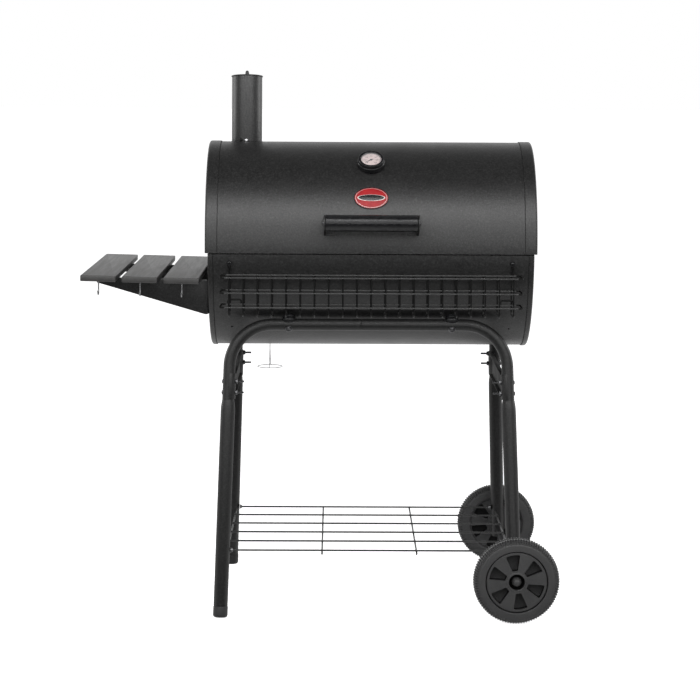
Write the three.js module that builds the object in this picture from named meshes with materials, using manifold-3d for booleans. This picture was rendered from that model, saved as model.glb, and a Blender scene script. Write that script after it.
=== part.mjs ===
// Barrel charcoal grill on a two-wheel tube cart. Millimetres, +Z up, origin at the bottom centre of the bounding box.
import * as THREE from "three";
import { mergeVertices } from "three/addons/utils/BufferGeometryUtils.js";
import Module from "manifold-3d";

const wasm = await Module();
wasm.setup();
const { Manifold, Mesh } = wasm;

// ---- driving dimensions (lengths in mm, angles in degrees) ----
const SHIFT_X = 113.25; // barrel centre to the middle of the whole length
const AXIS_Z = 855.3; // height of the barrel's axis
const SEG = 56; // facets round the drum
const HOOD_R = 247.7; // outside radius of the lid's end caps
const HOOD_HALF = 385.4; // half length of the lid
const HOOD_FLANGE = 28; // width of the lid cap's rolled rim
const HOOD_SHEET_R = 245.8;
const HOOD_LOW = 851.3; // lower edge of the lid
const BARREL_R = 244.7;
const BARREL_HALF = 379;
const BARREL_FLANGE = 12;
const BARREL_SHEET_R = 242.9;
const BARREL_TOP = 849; // rim of the lower half
const SHEET = 1.6;
const HINGE_Y = 258; // hinge pin, behind the rim
const HINGE_Z = 850.2;
const HINGE_X = [-250, 250];
const CHIMNEY_X = -298;
const CHIMNEY_LEAN = 97; // degrees up from the front horizontal
const CHIMNEY_R = 36.5;
const CHIMNEY_TOP = 402.5; // distance of the mouth from the barrel's axis
const CAP_R = 38.25;
const GAUGE_ANGLE = 53.2;
const GAUGE_R = 32;
const BADGE_ANGLE = 30;
const GRIP_Y = -303;
const GRIP_Z = 926.5;
const GRIP_R = 19.2;
const GRIP_HALF = 106.5;
const UPPER_R = 14; // bent leg tube
const LOWER_R = 16.75; // lower leg sleeve
const RUN_Z = 681; // horizontal run of the leg frames
const RUN_Y = 198;
const LEAN = 7.28; // degrees the leg frames lean out front and back
const BEND_R = 102;
const LEG_X = [-330, 322]; // at the end of the bend
const SPLAY = [0.0327, 0.0374]; // outward drift per mm down, left and right
const SLEEVE_TOP = 505;
const SEAM_X = -21;
const AXLE_X = 340;
const WHEEL_R = 100.6;
const WHEEL_HALF = 23;
const WHEEL_Y = 331;
const AXLE_R = 6.35;
const RACK_Z = 154.5;
const SLAT_HALF = 293;
const SLAT_T = 14;
const SLATS = [[-668, -587], [-572.5, -491.5], [-476.5, -395.5]];
const SLAT_TILT = 1.3; // outer side higher
const SLAT_TOP = 797.5; // at the inner slat's edge
const BASKET = { x: 346, front: -322, back: -249.5, rails: [801.5, 766.5, 733.5], bottom: 711, wire: 3.6, ribs: 21, half: 326 };

// ---- small tools ----
const rad = (d) => (d * Math.PI) / 180;
// closed geometry as a solid that can be joined and cut
function solid(geometry) {
  geometry.deleteAttribute("normal");
  geometry.deleteAttribute("uv");
  const g = mergeVertices(geometry, 1e-4), idx = g.index.array, tri = [];
  for (let i = 0; i < idx.length; i += 3)
    if (idx[i] !== idx[i + 1] && idx[i + 1] !== idx[i + 2] && idx[i] !== idx[i + 2]) tri.push(idx[i], idx[i + 1], idx[i + 2]);
  const make = () => new Manifold(new Mesh({ numProp: 3, vertProperties: new Float32Array(g.attributes.position.array), triVerts: new Uint32Array(tri) }));
  let m = make();
  if (m.volume() < 0) {
    for (let i = 0; i < tri.length; i += 3) [tri[i + 1], tri[i + 2]] = [tri[i + 2], tri[i + 1]];
    m = make();
  }
  return m;
}
const box = (x0, x1, y0, y1, z0, z1) =>
  solid(new THREE.BoxGeometry(x1 - x0, y1 - y0, z1 - z0).translate((x0 + x1) / 2, (y0 + y1) / 2, (z0 + z1) / 2));
const union = (list) => list.flat().reduce((m, n) => m.add(n));
const turned = (m, deg, r, x) => m.translate([0, 0, r]).rotate([90 - deg, 0, 0]).translate([x, 0, AXIS_Z]); // stands a solid on the drum, its +Z along the radius
// outline of [radius, height] turned round Z
const lathe = (pts, seg) =>
  solid(new THREE.LatheGeometry([...pts, pts[0]].map((p) => new THREE.Vector2(p[0], p[1])), seg).rotateX(Math.PI / 2));
const alongX = (m) => m.rotate([0, 90, 0]).translate([0, 0, AXIS_Z]);
const cyl = (h, r, seg) => solid(new THREE.CylinderGeometry(r, r, h, seg).rotateX(Math.PI / 2).translate(0, 0, h / 2));
const above = (m, z) => m.subtract(box(-900, 900, -900, 900, z - 900, z));
const below = (m, z) => m.subtract(box(-900, 900, -900, 900, z, z + 900));
// flat outline, with any holes, run up Z by h
function extrude(pts, h, holes = []) {
  const shape = new THREE.Shape(pts.map((p) => new THREE.Vector2(...p)));
  for (const hole of holes) shape.holes.push(new THREE.Path(hole.map((p) => new THREE.Vector2(...p))));
  return solid(new THREE.ExtrudeGeometry(shape, { depth: h, bevelEnabled: false, steps: 1 }));
}
const ccw = (pts) => {
  let area = 0;
  pts.forEach((p, i) => { const q = pts[(i + 1) % pts.length]; area += p[0] * q[1] - q[0] * p[1]; });
  return area < 0 ? [...pts].reverse() : pts;
};
// a flat YZ outline run from x0 to x1
const slab = (pts, x0, x1) =>
  extrude(ccw(pts), x1 - x0).transform([0, 1, 0, 0, 0, 0, 1, 0, 1, 0, 0, 0, 0, 0, 0, 1]).translate([x0, 0, 0]);
// sheet bent round the drum: radii r0 to r1 between two angles measured up from the front
function bentPlate(r0, r1, a0, a1, x0, x1, steps = 4) {
  const at = (r, a) => [-r * Math.cos(rad(a)), AXIS_Z + r * Math.sin(rad(a))];
  const outer = [], inner = [];
  for (let i = 0; i <= steps; i++) {
    const a = a0 + ((a1 - a0) * i) / steps;
    outer.push(at(r1, a));
    inner.push(at(r0, a));
  }
  return slab(outer.concat(inner.reverse()), x0, x1);
}
// round bar or tube along a path in one plane whose normal is b, mitred at each corner
function tube(path, b, ro, ri, seg, phase = 0) {
  const P = path.map((p) => new THREE.Vector3(...p)), B = new THREE.Vector3(...b).normalize();
  const rings = P.map((p, i) => {
    const a = i ? p.clone().sub(P[i - 1]).normalize() : null, c = i < P.length - 1 ? P[i + 1].clone().sub(p).normalize() : null;
    const t = (a && c ? a.clone().add(c) : a || c).normalize();
    const n = new THREE.Vector3().crossVectors(t, B).normalize(), s = a ? 1 / t.dot(a) : 1;
    return (r) => {
      const out = [];
      for (let k = 0; k < seg; k++) {
        const f = phase + (2 * Math.PI * k) / seg;
        out.push(p.clone().addScaledVector(B, r * Math.cos(f)).addScaledVector(n, r * Math.sin(f) * s));
      }
      return out;
    };
  });
  const V = [], T = [], layers = ri ? [ro, ri] : [ro];
  layers.forEach((r) => rings.forEach((ring) => ring(r).forEach((v) => V.push(v.x, v.y, v.z))));
  const N = P.length, id = (l, i, k) => (l * N + i) * seg + ((k + seg) % seg);
  const quad = (q, flip) => { if (flip) q.reverse(); T.push(q[0], q[1], q[2], q[0], q[2], q[3]); };
  for (let l = 0; l < layers.length; l++)
    for (let i = 0; i < N - 1; i++)
      for (let k = 0; k < seg; k++) quad([id(l, i, k), id(l, i, k + 1), id(l, i + 1, k + 1), id(l, i + 1, k)], l);
  if (ri)
    for (const [i, flip] of [[0, 0], [N - 1, 1]])
      for (let k = 0; k < seg; k++) quad([id(0, i, k + 1), id(0, i, k), id(1, i, k), id(1, i, k + 1)], flip);
  else
    for (let k = 1; k < seg - 1; k++) {
      T.push(id(0, 0, 0), id(0, 0, k + 1), id(0, 0, k));
      T.push(id(0, N - 1, 0), id(0, N - 1, k), id(0, N - 1, k + 1));
    }
  const g = new THREE.BufferGeometry().setAttribute("position", new THREE.Float32BufferAttribute(V, 3));
  g.setIndex(T);
  return solid(g);
}

const group = new THREE.Group();
const PAINT = 0x2b2b2c;
// sub-assemblies, each placed at its own reference point
const place = (parent, x, y, z) => { const g = new THREE.Group(); g.position.set(x, y, z); parent.add(g); return g; };
const cart = place(group, SHIFT_X, 0, 0);
const drum = place(cart, 0, 0, AXIS_Z);
const lid = place(cart, 0, HINGE_Y, HINGE_Z);
const axleLine = place(cart, AXLE_X, 0, WHEEL_R);
let home = lid; // the sub-assembly that the next nodes join
function node(name, body, color = PAINT, roughness = 0.55, metalness = 0.2) {
  const o = home.position, d = home === cart ? [0, 0, 0] : [-o.x, -o.y, -o.z];
  const mesh = body.translate(d).getMesh(), n = mesh.numProp;
  const pos = new Float32Array(mesh.triVerts.length * 3);
  mesh.triVerts.forEach((v, i) => { for (let k = 0; k < 3; k++) pos[i * 3 + k] = mesh.vertProperties[v * n + k]; });
  const g = new THREE.BufferGeometry().setAttribute("position", new THREE.BufferAttribute(pos, 3));
  g.computeVertexNormals();
  const m = new THREE.Mesh(g, new THREE.MeshStandardMaterial({ color, roughness, metalness }));
  m.name = name;
  home.add(m);
}

// ---- lid ----
// half drum of sheet, with holes for the smoke stack and the gauge stem
const ring = (r, t, half) =>
  alongX(lathe([[r - t, -half], [r, -half], [r, half], [r - t, half]], SEG));
{
  let m = ring(HOOD_SHEET_R, SHEET, HOOD_HALF - 15);
  m = above(m, HOOD_LOW);
  m = m.subtract(turned(cyl(60, CHIMNEY_R + 0.4, 20), CHIMNEY_LEAN, 215, CHIMNEY_X));
  m = m.subtract(turned(cyl(40, 5, 8), GAUGE_ANGLE, 225, 0));
  node("hood_shell", m);
}
// pressed cap: flat half disc with a rounded corner and a rolled rim that covers the sheet's edge
function cap(R, half, flange, side, keepAbove, cut) {
  const i = R - 1.5;
  let m = lathe([[0, half - 1.5], [R - 5.6, half - 1.5], [i, half - 5], [i, half - flange], [R, half - flange], [R, half - 4.6], [R - 1.7, half - 1.3], [R - 5.4, half], [0, half]], SEG);
  m = m.rotate([0, side > 0 ? 90 : -90, 0]).translate([0, 0, AXIS_Z]);
  return keepAbove ? above(m, cut) : below(m, cut);
}
node("hood_left_end", cap(HOOD_R, HOOD_HALF, HOOD_FLANGE, -1, true, HOOD_LOW));
node("hood_right_end", cap(HOOD_R, HOOD_HALF, HOOD_FLANGE, 1, true, HOOD_LOW));

// smoke stack: pipe through the lid, with a fixed vent plate in its mouth
const vent = (r0, r1, a, h) => {
  const pts = [];
  for (let k = 0; k <= 4; k++) { const t = rad(a - 32 + 16 * k); pts.push([r1 * Math.cos(t), r1 * Math.sin(t)]); }
  for (let k = 4; k >= 0; k--) { const t = rad(a - 32 + 16 * k); pts.push([r0 * Math.cos(t), r0 * Math.sin(t)]); }
  return extrude(pts, h);
};
{
  const z0 = 236, z1 = CHIMNEY_TOP, R = CHIMNEY_R;
  let m = lathe([[R - 1.5, z0], [R, z0], [R, z1], [R - 1.5, z1], [R - 1.5, z1 - 6], [0, z1 - 6], [0, z1 - 7.5], [R - 1.5, z1 - 7.5]], 20);
  m = m.subtract(union([vent(10, 30, 0, 12), vent(10, 30, 180, 12), cyl(12, 3.2, 8)]).translate([0, 0, z1 - 12]));
  node("chimney_stack", turned(m, CHIMNEY_LEAN, 0, CHIMNEY_X));
  let c = cyl(2, CAP_R, 24).subtract(union([vent(10, 30, 90, 12), vent(10, 30, 270, 12), cyl(12, 3.5, 12)]).translate([0, 0, -5]));
  node("chimney_cap", turned(c, CHIMNEY_LEAN, z1 + 0.3, CHIMNEY_X));
  const b = union([cyl(26, 3, 8).translate([0, 0, -13]), cyl(12.6, 5, 12).translate([0, 0, 2.7]), cyl(4, 5.5, 6).translate([0, 0, -11.9])]);
  node("chimney_cap_bolt", turned(b.intersect(box(-20, 20, -20, 20, -13, 15.3)), CHIMNEY_LEAN, z1, CHIMNEY_X), 0x3a3a3a, 0.4, 0.6);
}

// heat gauge: cup with stem, printed dial, pointer on its spindle, window
{
  const base = HOOD_SHEET_R + 0.4;
  const cup = lathe([[0, -70], [3, -70], [3, 0], [GAUGE_R, 0], [GAUGE_R, 10.5], [30.2, 12], [30.2, 17], [28.6, 20], [24.2, 20], [24.2, 11], [0, 11]], 24);
  const nut = cyl(4, 8, 6).translate([0, 0, -6.8]);
  node("thermometer_housing", turned(cup.add(nut), GAUGE_ANGLE, base, 0), 0x151515, 0.2, 0.3);
  node("thermometer_dial", turned(lathe([[2, 11.3], [23.8, 11.3], [23.8, 12.1], [2, 12.1]], 24), GAUGE_ANGLE, base, 0), 0xe6dcda, 0.5, 0);
  const hand = union([cyl(3.2, 1.5, 8).translate([0, 0, 11.3]), cyl(1, 3.2, 12).translate([0, 0, 13.5]), box(0, 19, -1, 1, 13.5, 14.3)]);
  node("thermometer_needle", turned(hand.rotate([0, 0, 215]), GAUGE_ANGLE, base, 0), 0x101010, 0.5, 0);
  node("thermometer_lens", turned(cyl(1.4, 23.8, 24).translate([0, 0, 17]), GAUGE_ANGLE, base, 0), 0xf4f4f4, 0.1, 0);
}
// oval badge bent to the lid, with a raised rim
{
  const oval = (a, b, h) => cyl(h, 1, 24).scale([a, b, 1]);
  const shellCut = (r0, r1) => bentPlate(r0, r1, 15, 45, -60, 60, 6);
  const stand = (m) => turned(m, BADGE_ANGLE, 236, 0);
  const plate = stand(oval(40.5, 27.5, 30)).intersect(shellCut(246.9, 248.3));
  const rim = stand(oval(40.5, 27.5, 30).subtract(oval(37.6, 24.6, 30))).intersect(shellCut(247.2, 249.3));
  node("badge_plate", plate.add(rim), 0x8c1f1f, 0.35, 0.1);
}
// handle: round grip between two end brackets whose feet turn in along the lid
{
  const grip = lathe([[0, -GRIP_HALF], [GRIP_R - 1.2, -GRIP_HALF], [GRIP_R, -GRIP_HALF + 1.5], [GRIP_R, GRIP_HALF - 1.5], [GRIP_R - 1.2, GRIP_HALF], [0, GRIP_HALF]], 20);
  node("handle_grip", grip.rotate([0, 90, 0]).translate([0, GRIP_Y, GRIP_Z]), 0x0e0e0e, 0.25, 0.1);
  for (const s of [-1, 1]) {
    const x0 = s > 0 ? GRIP_HALF + 0.3 : -GRIP_HALF - 3.3;
    const disc = [];
    for (let k = 0; k < 12; k++) disc.push([GRIP_Y + 19.2 * Math.cos(rad(k * 30)), GRIP_Z + 19.2 * Math.sin(rad(k * 30))]);
    const at = (r, a) => [-r * Math.cos(rad(a)), AXIS_Z + r * Math.sin(rad(a))];
    const web = slab([at(246.6, 8.9), at(246.6, 20), [GRIP_Y + 8, GRIP_Z + 19], [GRIP_Y - 8, GRIP_Z - 19]], x0, x0 + 3);
    const plate = union([slab(disc, x0, x0 + 3), web]).intersect(box(-200, 200, -400, -200, 800, 1000)).subtract(bentPlate(200, 246.4, -5, 40, -200, 200, 12));
    const foot = bentPlate(246.4, 249.2, 8.9, 15.5, s > 0 ? x0 - 25 : x0, s > 0 ? x0 + 3 : x0 + 28, 2);
    const head = cyl(4, 5, 8).rotate([0, s * 90, 0]).translate([s > 0 ? x0 + 2 : x0 + 1, GRIP_Y, GRIP_Z]);
    node(s > 0 ? "handle_bracket_right" : "handle_bracket_left", union([plate, foot, head]));
  }
}

// ---- barrel ----
home = drum;
{
  let m = below(ring(BARREL_SHEET_R, SHEET, BARREL_HALF - 9), BARREL_TOP);
  const ledges = [-1, 1].map((s) => box(-340, 340, Math.min(s * 221, s * 240.4), Math.max(s * 221, s * 240.4), 826, 828));
  const tray = [-1, 1].map((s) => box(-345, 345, Math.min(s * 148, s * 194.6), Math.max(s * 148, s * 194.6), 712, 714));
  m = union([m, ledges, tray]);
  for (const x of [-300, 300]) m = m.subtract(box(x - 3, x + 3, 229.5, 235.5, 820, 832)); // sockets for the upper shelf's legs
  // studs for the wire basket: shank and head
  for (const x of [-328, 328]) m = m.add(turned(union([cyl(9.4, 2.5, 8), cyl(2, 5.4, 8).translate([0, 0, 8.4])]), -6.2, 242, x));
  for (const x of [-191, 191]) for (const a of [-41.3, 221.3]) m = m.subtract(turned(cyl(12, 3.3, 8), a, 236, x));
  m = m.subtract(cyl(12, 6, 8).translate([-241, 0, 606]));
  node("barrel_shell", m);
}
node("barrel_left_end", cap(BARREL_R, BARREL_HALF, BARREL_FLANGE, -1, false, BARREL_TOP));
// right cap has two air slots behind a turning shutter on a riveted stud
{
  const dz = 742;
  const onEnd = (m) => m.rotate([0, 90, 0]).translate([0, 0, dz]);
  let m = cap(BARREL_R, BARREL_HALF, BARREL_FLANGE, 1, false, BARREL_TOP);
  m = m.subtract(onEnd(union([vent(9, 33, 0, 12), vent(9, 33, 180, 12)]).translate([0, 0, BARREL_HALF - 8])));
  m = m.add(onEnd(union([cyl(4, 3, 8).translate([0, 0, BARREL_HALF - 0.8]), cyl(2, 5.5, 8).translate([0, 0, BARREL_HALF + 2.4])])));
  node("barrel_right_end", m);
  let d = cyl(1.5, 37, 24).subtract(union([vent(9, 33, 90, 12), vent(9, 33, 270, 12), cyl(12, 3.5, 12)]).translate([0, 0, -5]));
  d = d.add(box(34, 46, -3, 3, 0, 1.5)).add(box(42, 44, -3, 3, 1, 12)); // finger tab, hanging down when shut
  node("side_damper", onEnd(d.translate([0, 0, BARREL_HALF + 0.4])));
}
// hinges: curved leaves, knuckles and a pin that is pressed into the fixed knuckles
HINGE_X.forEach((x, i) => {
  const name = i ? "right" : "left";
  const bore = cyl(80, 3.12, 10).rotate([0, 90, 0]).translate([x - 40, HINGE_Y, HINGE_Z]);
  const knuckle = (a, b) => cyl(b - a, 5.6, 10).rotate([0, 90, 0]).translate([x + a, HINGE_Y, HINGE_Z]);
  const low = bentPlate(BARREL_R + 0.4, BARREL_R + 2.9, 182, 195, x - 26, x + 26, 3);
  const web = (a, b) => box(x + a, x + b, BARREL_R + 0.9, HINGE_Y - 1, HINGE_Z - 5.2, HINGE_Z - 3);
  const pin = cyl(58, 2.95, 10).rotate([0, 90, 0]).translate([x - 29, HINGE_Y, HINGE_Z]);
  const heads = [-29, 27].map((a) => cyl(2, 4.6, 8).rotate([0, 90, 0]).translate([x + a, HINGE_Y, HINGE_Z]));
  node(`hinge_body_leaf_${name}`, union([low, web(-26, -9.3), web(9.3, 26), knuckle(-26, -9.3), knuckle(9.3, 26), pin, heads]), 0x303031);
  const high = bentPlate(HOOD_R + 0.4, HOOD_R + 2.9, 165, 180.2, x - 26, x + 26, 4);
  const upper = union([high, box(x - 9, x + 9, HOOD_R + 0.9, HINGE_Y - 1, HINGE_Z + 3.4, HINGE_Z + 5.5), knuckle(-9, 9)]);
  home = lid;
  node(`hinge_lid_leaf_${name}`, upper.subtract(bore).subtract(bentPlate(200, HOOD_R + 0.4, 150, 181, -400, 400, 20)), 0x303031);
});

// ---- inside the drum ----
home = drum;
// four ribbed iron grates side by side
for (let g = 0; g < 4; g++) {
  const x0 = -363 + g * 181.7, x1 = x0 + 180.9, z0 = 828.4, z1 = 840.4;
  const bars = [];
  for (let k = 1; k < 9; k++) { const c = x0 + 4 + (k * (x1 - x0 - 8)) / 9; bars.push(box(c - 3, c + 3, -218, 218, z0 + 1.5, z1 - 0.6)); }
  const frame = box(x0, x1, -224, 224, z0, z1).subtract(box(x0 + 8, x1 - 8, -215, 215, z0 - 5, z1 + 5));
  node(`cooking_grate_${g + 1}`, union([frame, bars, box(x0 + 4, x1 - 4, -4, 4, z0 + 0.8, z1 - 3)]), 0x232323, 0.8, 0.3);
}
// slotted charcoal tray on the two side ledges
{
  let m = box(-355, 355, -175, 175, 714.4, 716.4);
  for (const s of [-1, 1]) m = m.add(box(-355, 355, Math.min(s * 173, s * 175), Math.max(s * 173, s * 175), 714.4, 736));
  for (const s of [-1, 1]) m = m.add(box(Math.min(s * 353, s * 355), Math.max(s * 353, s * 355), -175, 175, 714.4, 736));
  for (let k = -4; k <= 4; k++) m = m.subtract(box(k * 74 - 6, k * 74 + 6, -120, 120, 710, 720));
  node("charcoal_tray", m, 0x2a2825, 0.85, 0.2);
}
// upper wire shelf on two bent legs that drop behind the grates
{
  const w = 2.5, wires = [];
  for (const s of [-1, 1])
    wires.push(tube([[s * 300, 232.5, 818], [s * 300, 232.5, 893], [s * 300, 190, 962], [s * 300, 42, 962]], [1, 0, 0], w, 0, 6));
  for (const y of [45, 90, 135, 180]) wires.push(tube([[-330, y, 958.5], [330, y, 958.5]], [0, 0, 1], w, 0, 6));
  for (const x of [-200, -100, 0, 100, 200]) wires.push(tube([[x, 42, 962], [x, 183, 962]], [0, 0, 1], 1.8, 0, 6));
  node("warming_rack", union(wires), 0x8a8a8a, 0.35, 0.8);
}

// ---- cart ----
home = cart;
const a = rad(LEAN), down = (s) => [0, s * Math.sin(a), -Math.cos(a)];
const planeAt = (s, x, t) => [x, s * (RUN_Y + t * Math.sin(a)), RUN_Z - t * Math.cos(a)];
const legX = (side, z) => (side ? 1 : -1) * (Math.abs(LEG_X[side]) + (RUN_Z - BEND_R - z) * SPLAY[side]);
const legY = (s, z) => s * (RUN_Y + (RUN_Z - z) * Math.tan(a));
const legPt = (side, s, z) => [legX(side, z), legY(s, z), z];
const planeNormal = (s) => new THREE.Vector3().crossVectors(new THREE.Vector3(1, 0, 0), new THREE.Vector3(...down(s))).toArray();
[[-1, "front"], [1, "rear"]].forEach(([s, where]) => {
  [0, 1].forEach((side) => {
    const sx = side ? 1 : -1, N = planeNormal(s);
    const end = legPt(side, s, 472);
    const dir = Math.atan(SPLAY[side] * Math.cos(a)); // drift inside the leaning plane
    const tEnd = BEND_R - BEND_R * Math.sin(dir);
    const zEnd = RUN_Z - tEnd * Math.cos(a);
    const xEnd = Math.abs(legX(side, zEnd));
    const xc = xEnd - BEND_R * Math.cos(dir);
    const arc = [];
    const turn = Math.PI / 2 - dir, steps = 5;
    for (let k = 0; k <= steps; k++) {
      const f = (turn * k) / steps;
      arc.push(planeAt(s, sx * (xc + BEND_R * Math.sin(f)), BEND_R - BEND_R * Math.cos(f)));
    }
    const path = [planeAt(s, SEAM_X, 0), ...arc, end];
    let m = tube(path, N, UPPER_R, UPPER_R - 1.5, 10);
    if (!side) m = m.add(tube([planeAt(s, SEAM_X - 10, 0), planeAt(s, SEAM_X + 28, 0)], N, UPPER_R - 1.9, UPPER_R - 3.2, 10)).add(tube([planeAt(s, SEAM_X - 10, 0), planeAt(s, SEAM_X - 4, 0)], N, UPPER_R - 1, UPPER_R - 3.2, 10));
    const th = s < 0 ? -41.3 : 221.3;
    m = m.subtract(turned(cyl(60, 3.3, 8), th, 236, sx * 191));
    node(`leg_bend_${where}_${side ? "right" : "left"}`, m);
    // shouldered mounting bolt: head, shank, spacer and inner nut
    const rc = Math.hypot(RUN_Y, AXIS_Z - RUN_Z);
    const bolt = union([
      cyl(rc + 19 - 233, 3, 8).translate([0, 0, 233]),
      cyl(4.4, 7, 6).translate([0, 0, rc + 15.4]),
      cyl(rc - UPPER_R - 0.4 - 243.6, 9, 10).translate([0, 0, 243.6]),
      cyl(5, 6.5, 6).translate([0, 0, 235]),
    ]);
    node(`leg_bolt_${where}_${side ? "right" : "left"}`, turned(bolt, th, 0, sx * 191), 0x3a3a3a, 0.4, 0.6);
    // lower leg sleeve
    const low = side ? 80 : 26.6;
    let leg = tube([legPt(side, s, SLEEVE_TOP), legPt(side, s, low)], N, LOWER_R, 14.5, 10);
    if (side) leg = leg.subtract(cyl(60, AXLE_R + 0.15, 12).rotate([90, 0, 0]).translate([AXLE_X, legY(s, WHEEL_R) + 30, WHEEL_R]));
    node(`lower_leg_${where}_${side ? "right" : "left"}`, leg);
    if (!side) {
      const N1 = N;
      const cup = union([tube([legPt(0, s, -6), legPt(0, s, 26.3)], N1, 17.3, 0, 10), tube([legPt(0, s, 20), legPt(0, s, 44)], N1, 13.6, 0, 10)]);
      node(`foot_cap_${where}`, cup.intersect(box(-500, 500, -400, 400, 0, 100)), 0x1d1d1d, 0.7, 0);
    }
  });
});
// side braces: web between the front and rear legs, half-round ends on the inner side of the tubes, studs pointing in
[0, 1].forEach((side) => {
  const sx = side ? 1 : -1;
  const parts = [];
  for (const s of [-1, 1]) {
    const N = planeNormal(s);
    const saddle = tube([legPt(side, s, 567), legPt(side, s, 508)], N, UPPER_R + 2.6, UPPER_R + 0.4, 10)
      .intersect(side ? box(200, legX(1, 538) - 3, -400, 400, 400, 700) : box(legX(0, 538) + 3, -200, -400, 400, 400, 700));
    parts.push(saddle);
    for (const z of s < 0 ? [548, 522.5] : [561, 535.5]) {
      const p = legPt(side, s, z), x0 = p[0] - sx * (UPPER_R + 1.2);
      parts.push(cyl(20, 2.5, 6).rotate([0, -sx * 90, 0]).translate([x0, p[1], z]));
      parts.push(cyl(5, 6, 6).rotate([0, -sx * 90, 0]).translate([x0, p[1], z]));
    }
  }
  const xw = sx * (Math.abs(legX(side, 538)) - 8), y = legY(1, 538) - UPPER_R;
  let web = box(xw - 1.2, xw + 1.2, -y, y, 510, 565);
  for (const s of [-1, 1]) web = web.subtract(tube([legPt(side, s, 600), legPt(side, s, 480)], planeNormal(s), UPPER_R + 0.5, 0, 16));
  parts.push(web);
  node(side ? "side_brace_right" : "side_brace_left", union(parts));
});
// axle with its end caps
home = axleLine;
{
  const rod = cyl(2 * 352, AXLE_R, 12).translate([0, 0, -352]);
  const dome = (s) => {
    const d = lathe([[0, 0], [12, 0], [12, 8], [9, 13.5], [0, 15.5]], 12).translate([0, 0, 340.5]);
    return s > 0 ? d : d.rotate([180, 0, 0]);
  };
  node("axle_rod", union([rod, dome(1), dome(-1)]).rotate([90, 0, 0]).translate([AXLE_X, 0, WHEEL_R]), 0x3c3c3c, 0.4, 0.6);
}
// wheels: moulded in one piece, ribbed hub with blind pockets, ring groove, tyre shoulder
for (const s of [-1, 1]) {
  const R = WHEEL_R, h = WHEEL_HALF;
  let m = lathe([
    [AXLE_R + 0.12, -38], [13, -38], [13, -14], [68, -14], [72, -21.5], [94, -21.5], [R, -14],
    [R, 14], [94, 21.5], [72, 21.5], [69, 19], [22, 19], [20, 20.5], [18.5, 20.5], [18.5, 5], [AXLE_R + 0.12, 5],
  ], 32);
  const pockets = [];
  for (const c of [99, 39, -21, -81, -141, 159]) {
    const f = (r, d) => [r * Math.cos(rad(c + d)), r * Math.sin(rad(c + d))];
    pockets.push(extrude([f(27, -13), f(65, -15), f(65, 15), f(27, 13)], 27).translate([0, 0, -1]));
    pockets.push(extrude([f(27, -13), f(65, -15), f(65, 15), f(27, 13)], 20).translate([0, 0, -24]));
  }
  m = m.subtract(union(pockets));
  node(s < 0 ? "wheel_front" : "wheel_rear", m.rotate([s < 0 ? 90 : -90, 0, 0]).translate([AXLE_X, s * WHEEL_Y, WHEEL_R]), 0x3d3d3d, 0.75, 0);
}
// lower wire rack between the legs
home = cart;
{
  const w = 2.5, wires = [];
  const edge = legX(0, RACK_Z) + LOWER_R + 0.6, edgeR = legX(1, RACK_Z) - LOWER_R - 0.6;
  for (let k = 0; k < 6; k++) {
    const y = -258 + k * 103.2, outer = k === 0 || k === 5;
    wires.push(tube([[outer ? edge : -336.5, y, RACK_Z], [outer ? edgeR : 332.5, y, RACK_Z]], [0, 0, 1], w, 0, 6));
  }
  for (const x of [-334, 330]) wires.push(tube([[x, -244, RACK_Z - 4.4], [x, 244, RACK_Z - 4.4]], [0, 0, 1], w, 0, 6));
  for (const x of [-111, 111]) wires.push(tube([[x, -267, RACK_Z - 8], [x, -262, RACK_Z - 4.4], [x, 262, RACK_Z - 4.4], [x, 267, RACK_Z - 8]], [1, 0, 0], w, 0, 6));
  node("bottom_grate", union(wires), 0x242424, 0.5, 0.3);
}

// ---- side shelf ----
const tilt = (m) => m.translate([395.5, 0, -SLAT_TOP]).rotate([0, SLAT_TILT, 0]).translate([-395.5, 0, SLAT_TOP]);
SLATS.forEach(([x0, x1], i) => {
  const zt = SLAT_TOP, c = 3;
  const pts = [[-SLAT_HALF, zt - SLAT_T + c], [-SLAT_HALF + c, zt - SLAT_T], [SLAT_HALF - c, zt - SLAT_T], [SLAT_HALF, zt - SLAT_T + c], [SLAT_HALF, zt - c], [SLAT_HALF - c, zt], [-SLAT_HALF + c, zt], [-SLAT_HALF, zt - c]];
  node(["shelf_slat_outer", "shelf_slat_middle", "shelf_slat_inner"][i], tilt(slab(pts, x0, x1)), 0x6f6f6f, 0.6, 0);
});
for (const s of [-1, 1]) {
  const y = s * 190, zt = SLAT_TOP - SLAT_T - 0.4;
  const side = (pts, y0, y1) => extrude(ccw(pts), y1 - y0).rotate([90, 0, 0]).translate([0, y1, 0]); // flat XZ outline
  const inward = -s * 18;
  const web = tilt(side([[-379.5, zt], [-640, zt], [-640, zt - 11], [-384, 706], [-379.5, 706]], y - 1.2, y + 1.2));
  const top = tilt(box(-640, -384, Math.min(y, y + inward), Math.max(y, y + inward), zt - 2.2, zt));
  const back = box(-381.8, -379.4, Math.min(y, y + inward), Math.max(y, y + inward), 704, 782);
  node(s < 0 ? "shelf_bracket_front" : "shelf_bracket_rear", union([web, top, back]).intersect(box(-700, -379.4, -400, 400, 600, 900)));
}
[-628, -532, -436].forEach((x, i) => {
  const z = SLAT_TOP - SLAT_T - 0.5 + (-395.5 - x) * Math.tan(rad(SLAT_TILT)) - 0.3, y = -280;
  const pts = [[x, y + 8, z], [x, y + 8, z - 14]];
  for (let k = 0; k <= 6; k++) { const f = rad(-30 * k); pts.push([x, y + 8 * Math.cos(f), z - 20 + 10 * Math.sin(f)]); }
  node(`tool_hook_${i + 1}`, tube(pts, [1, 0, 0], 1.75, 0, 6), 0x2a2a2a, 0.4, 0.5);
});

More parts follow.
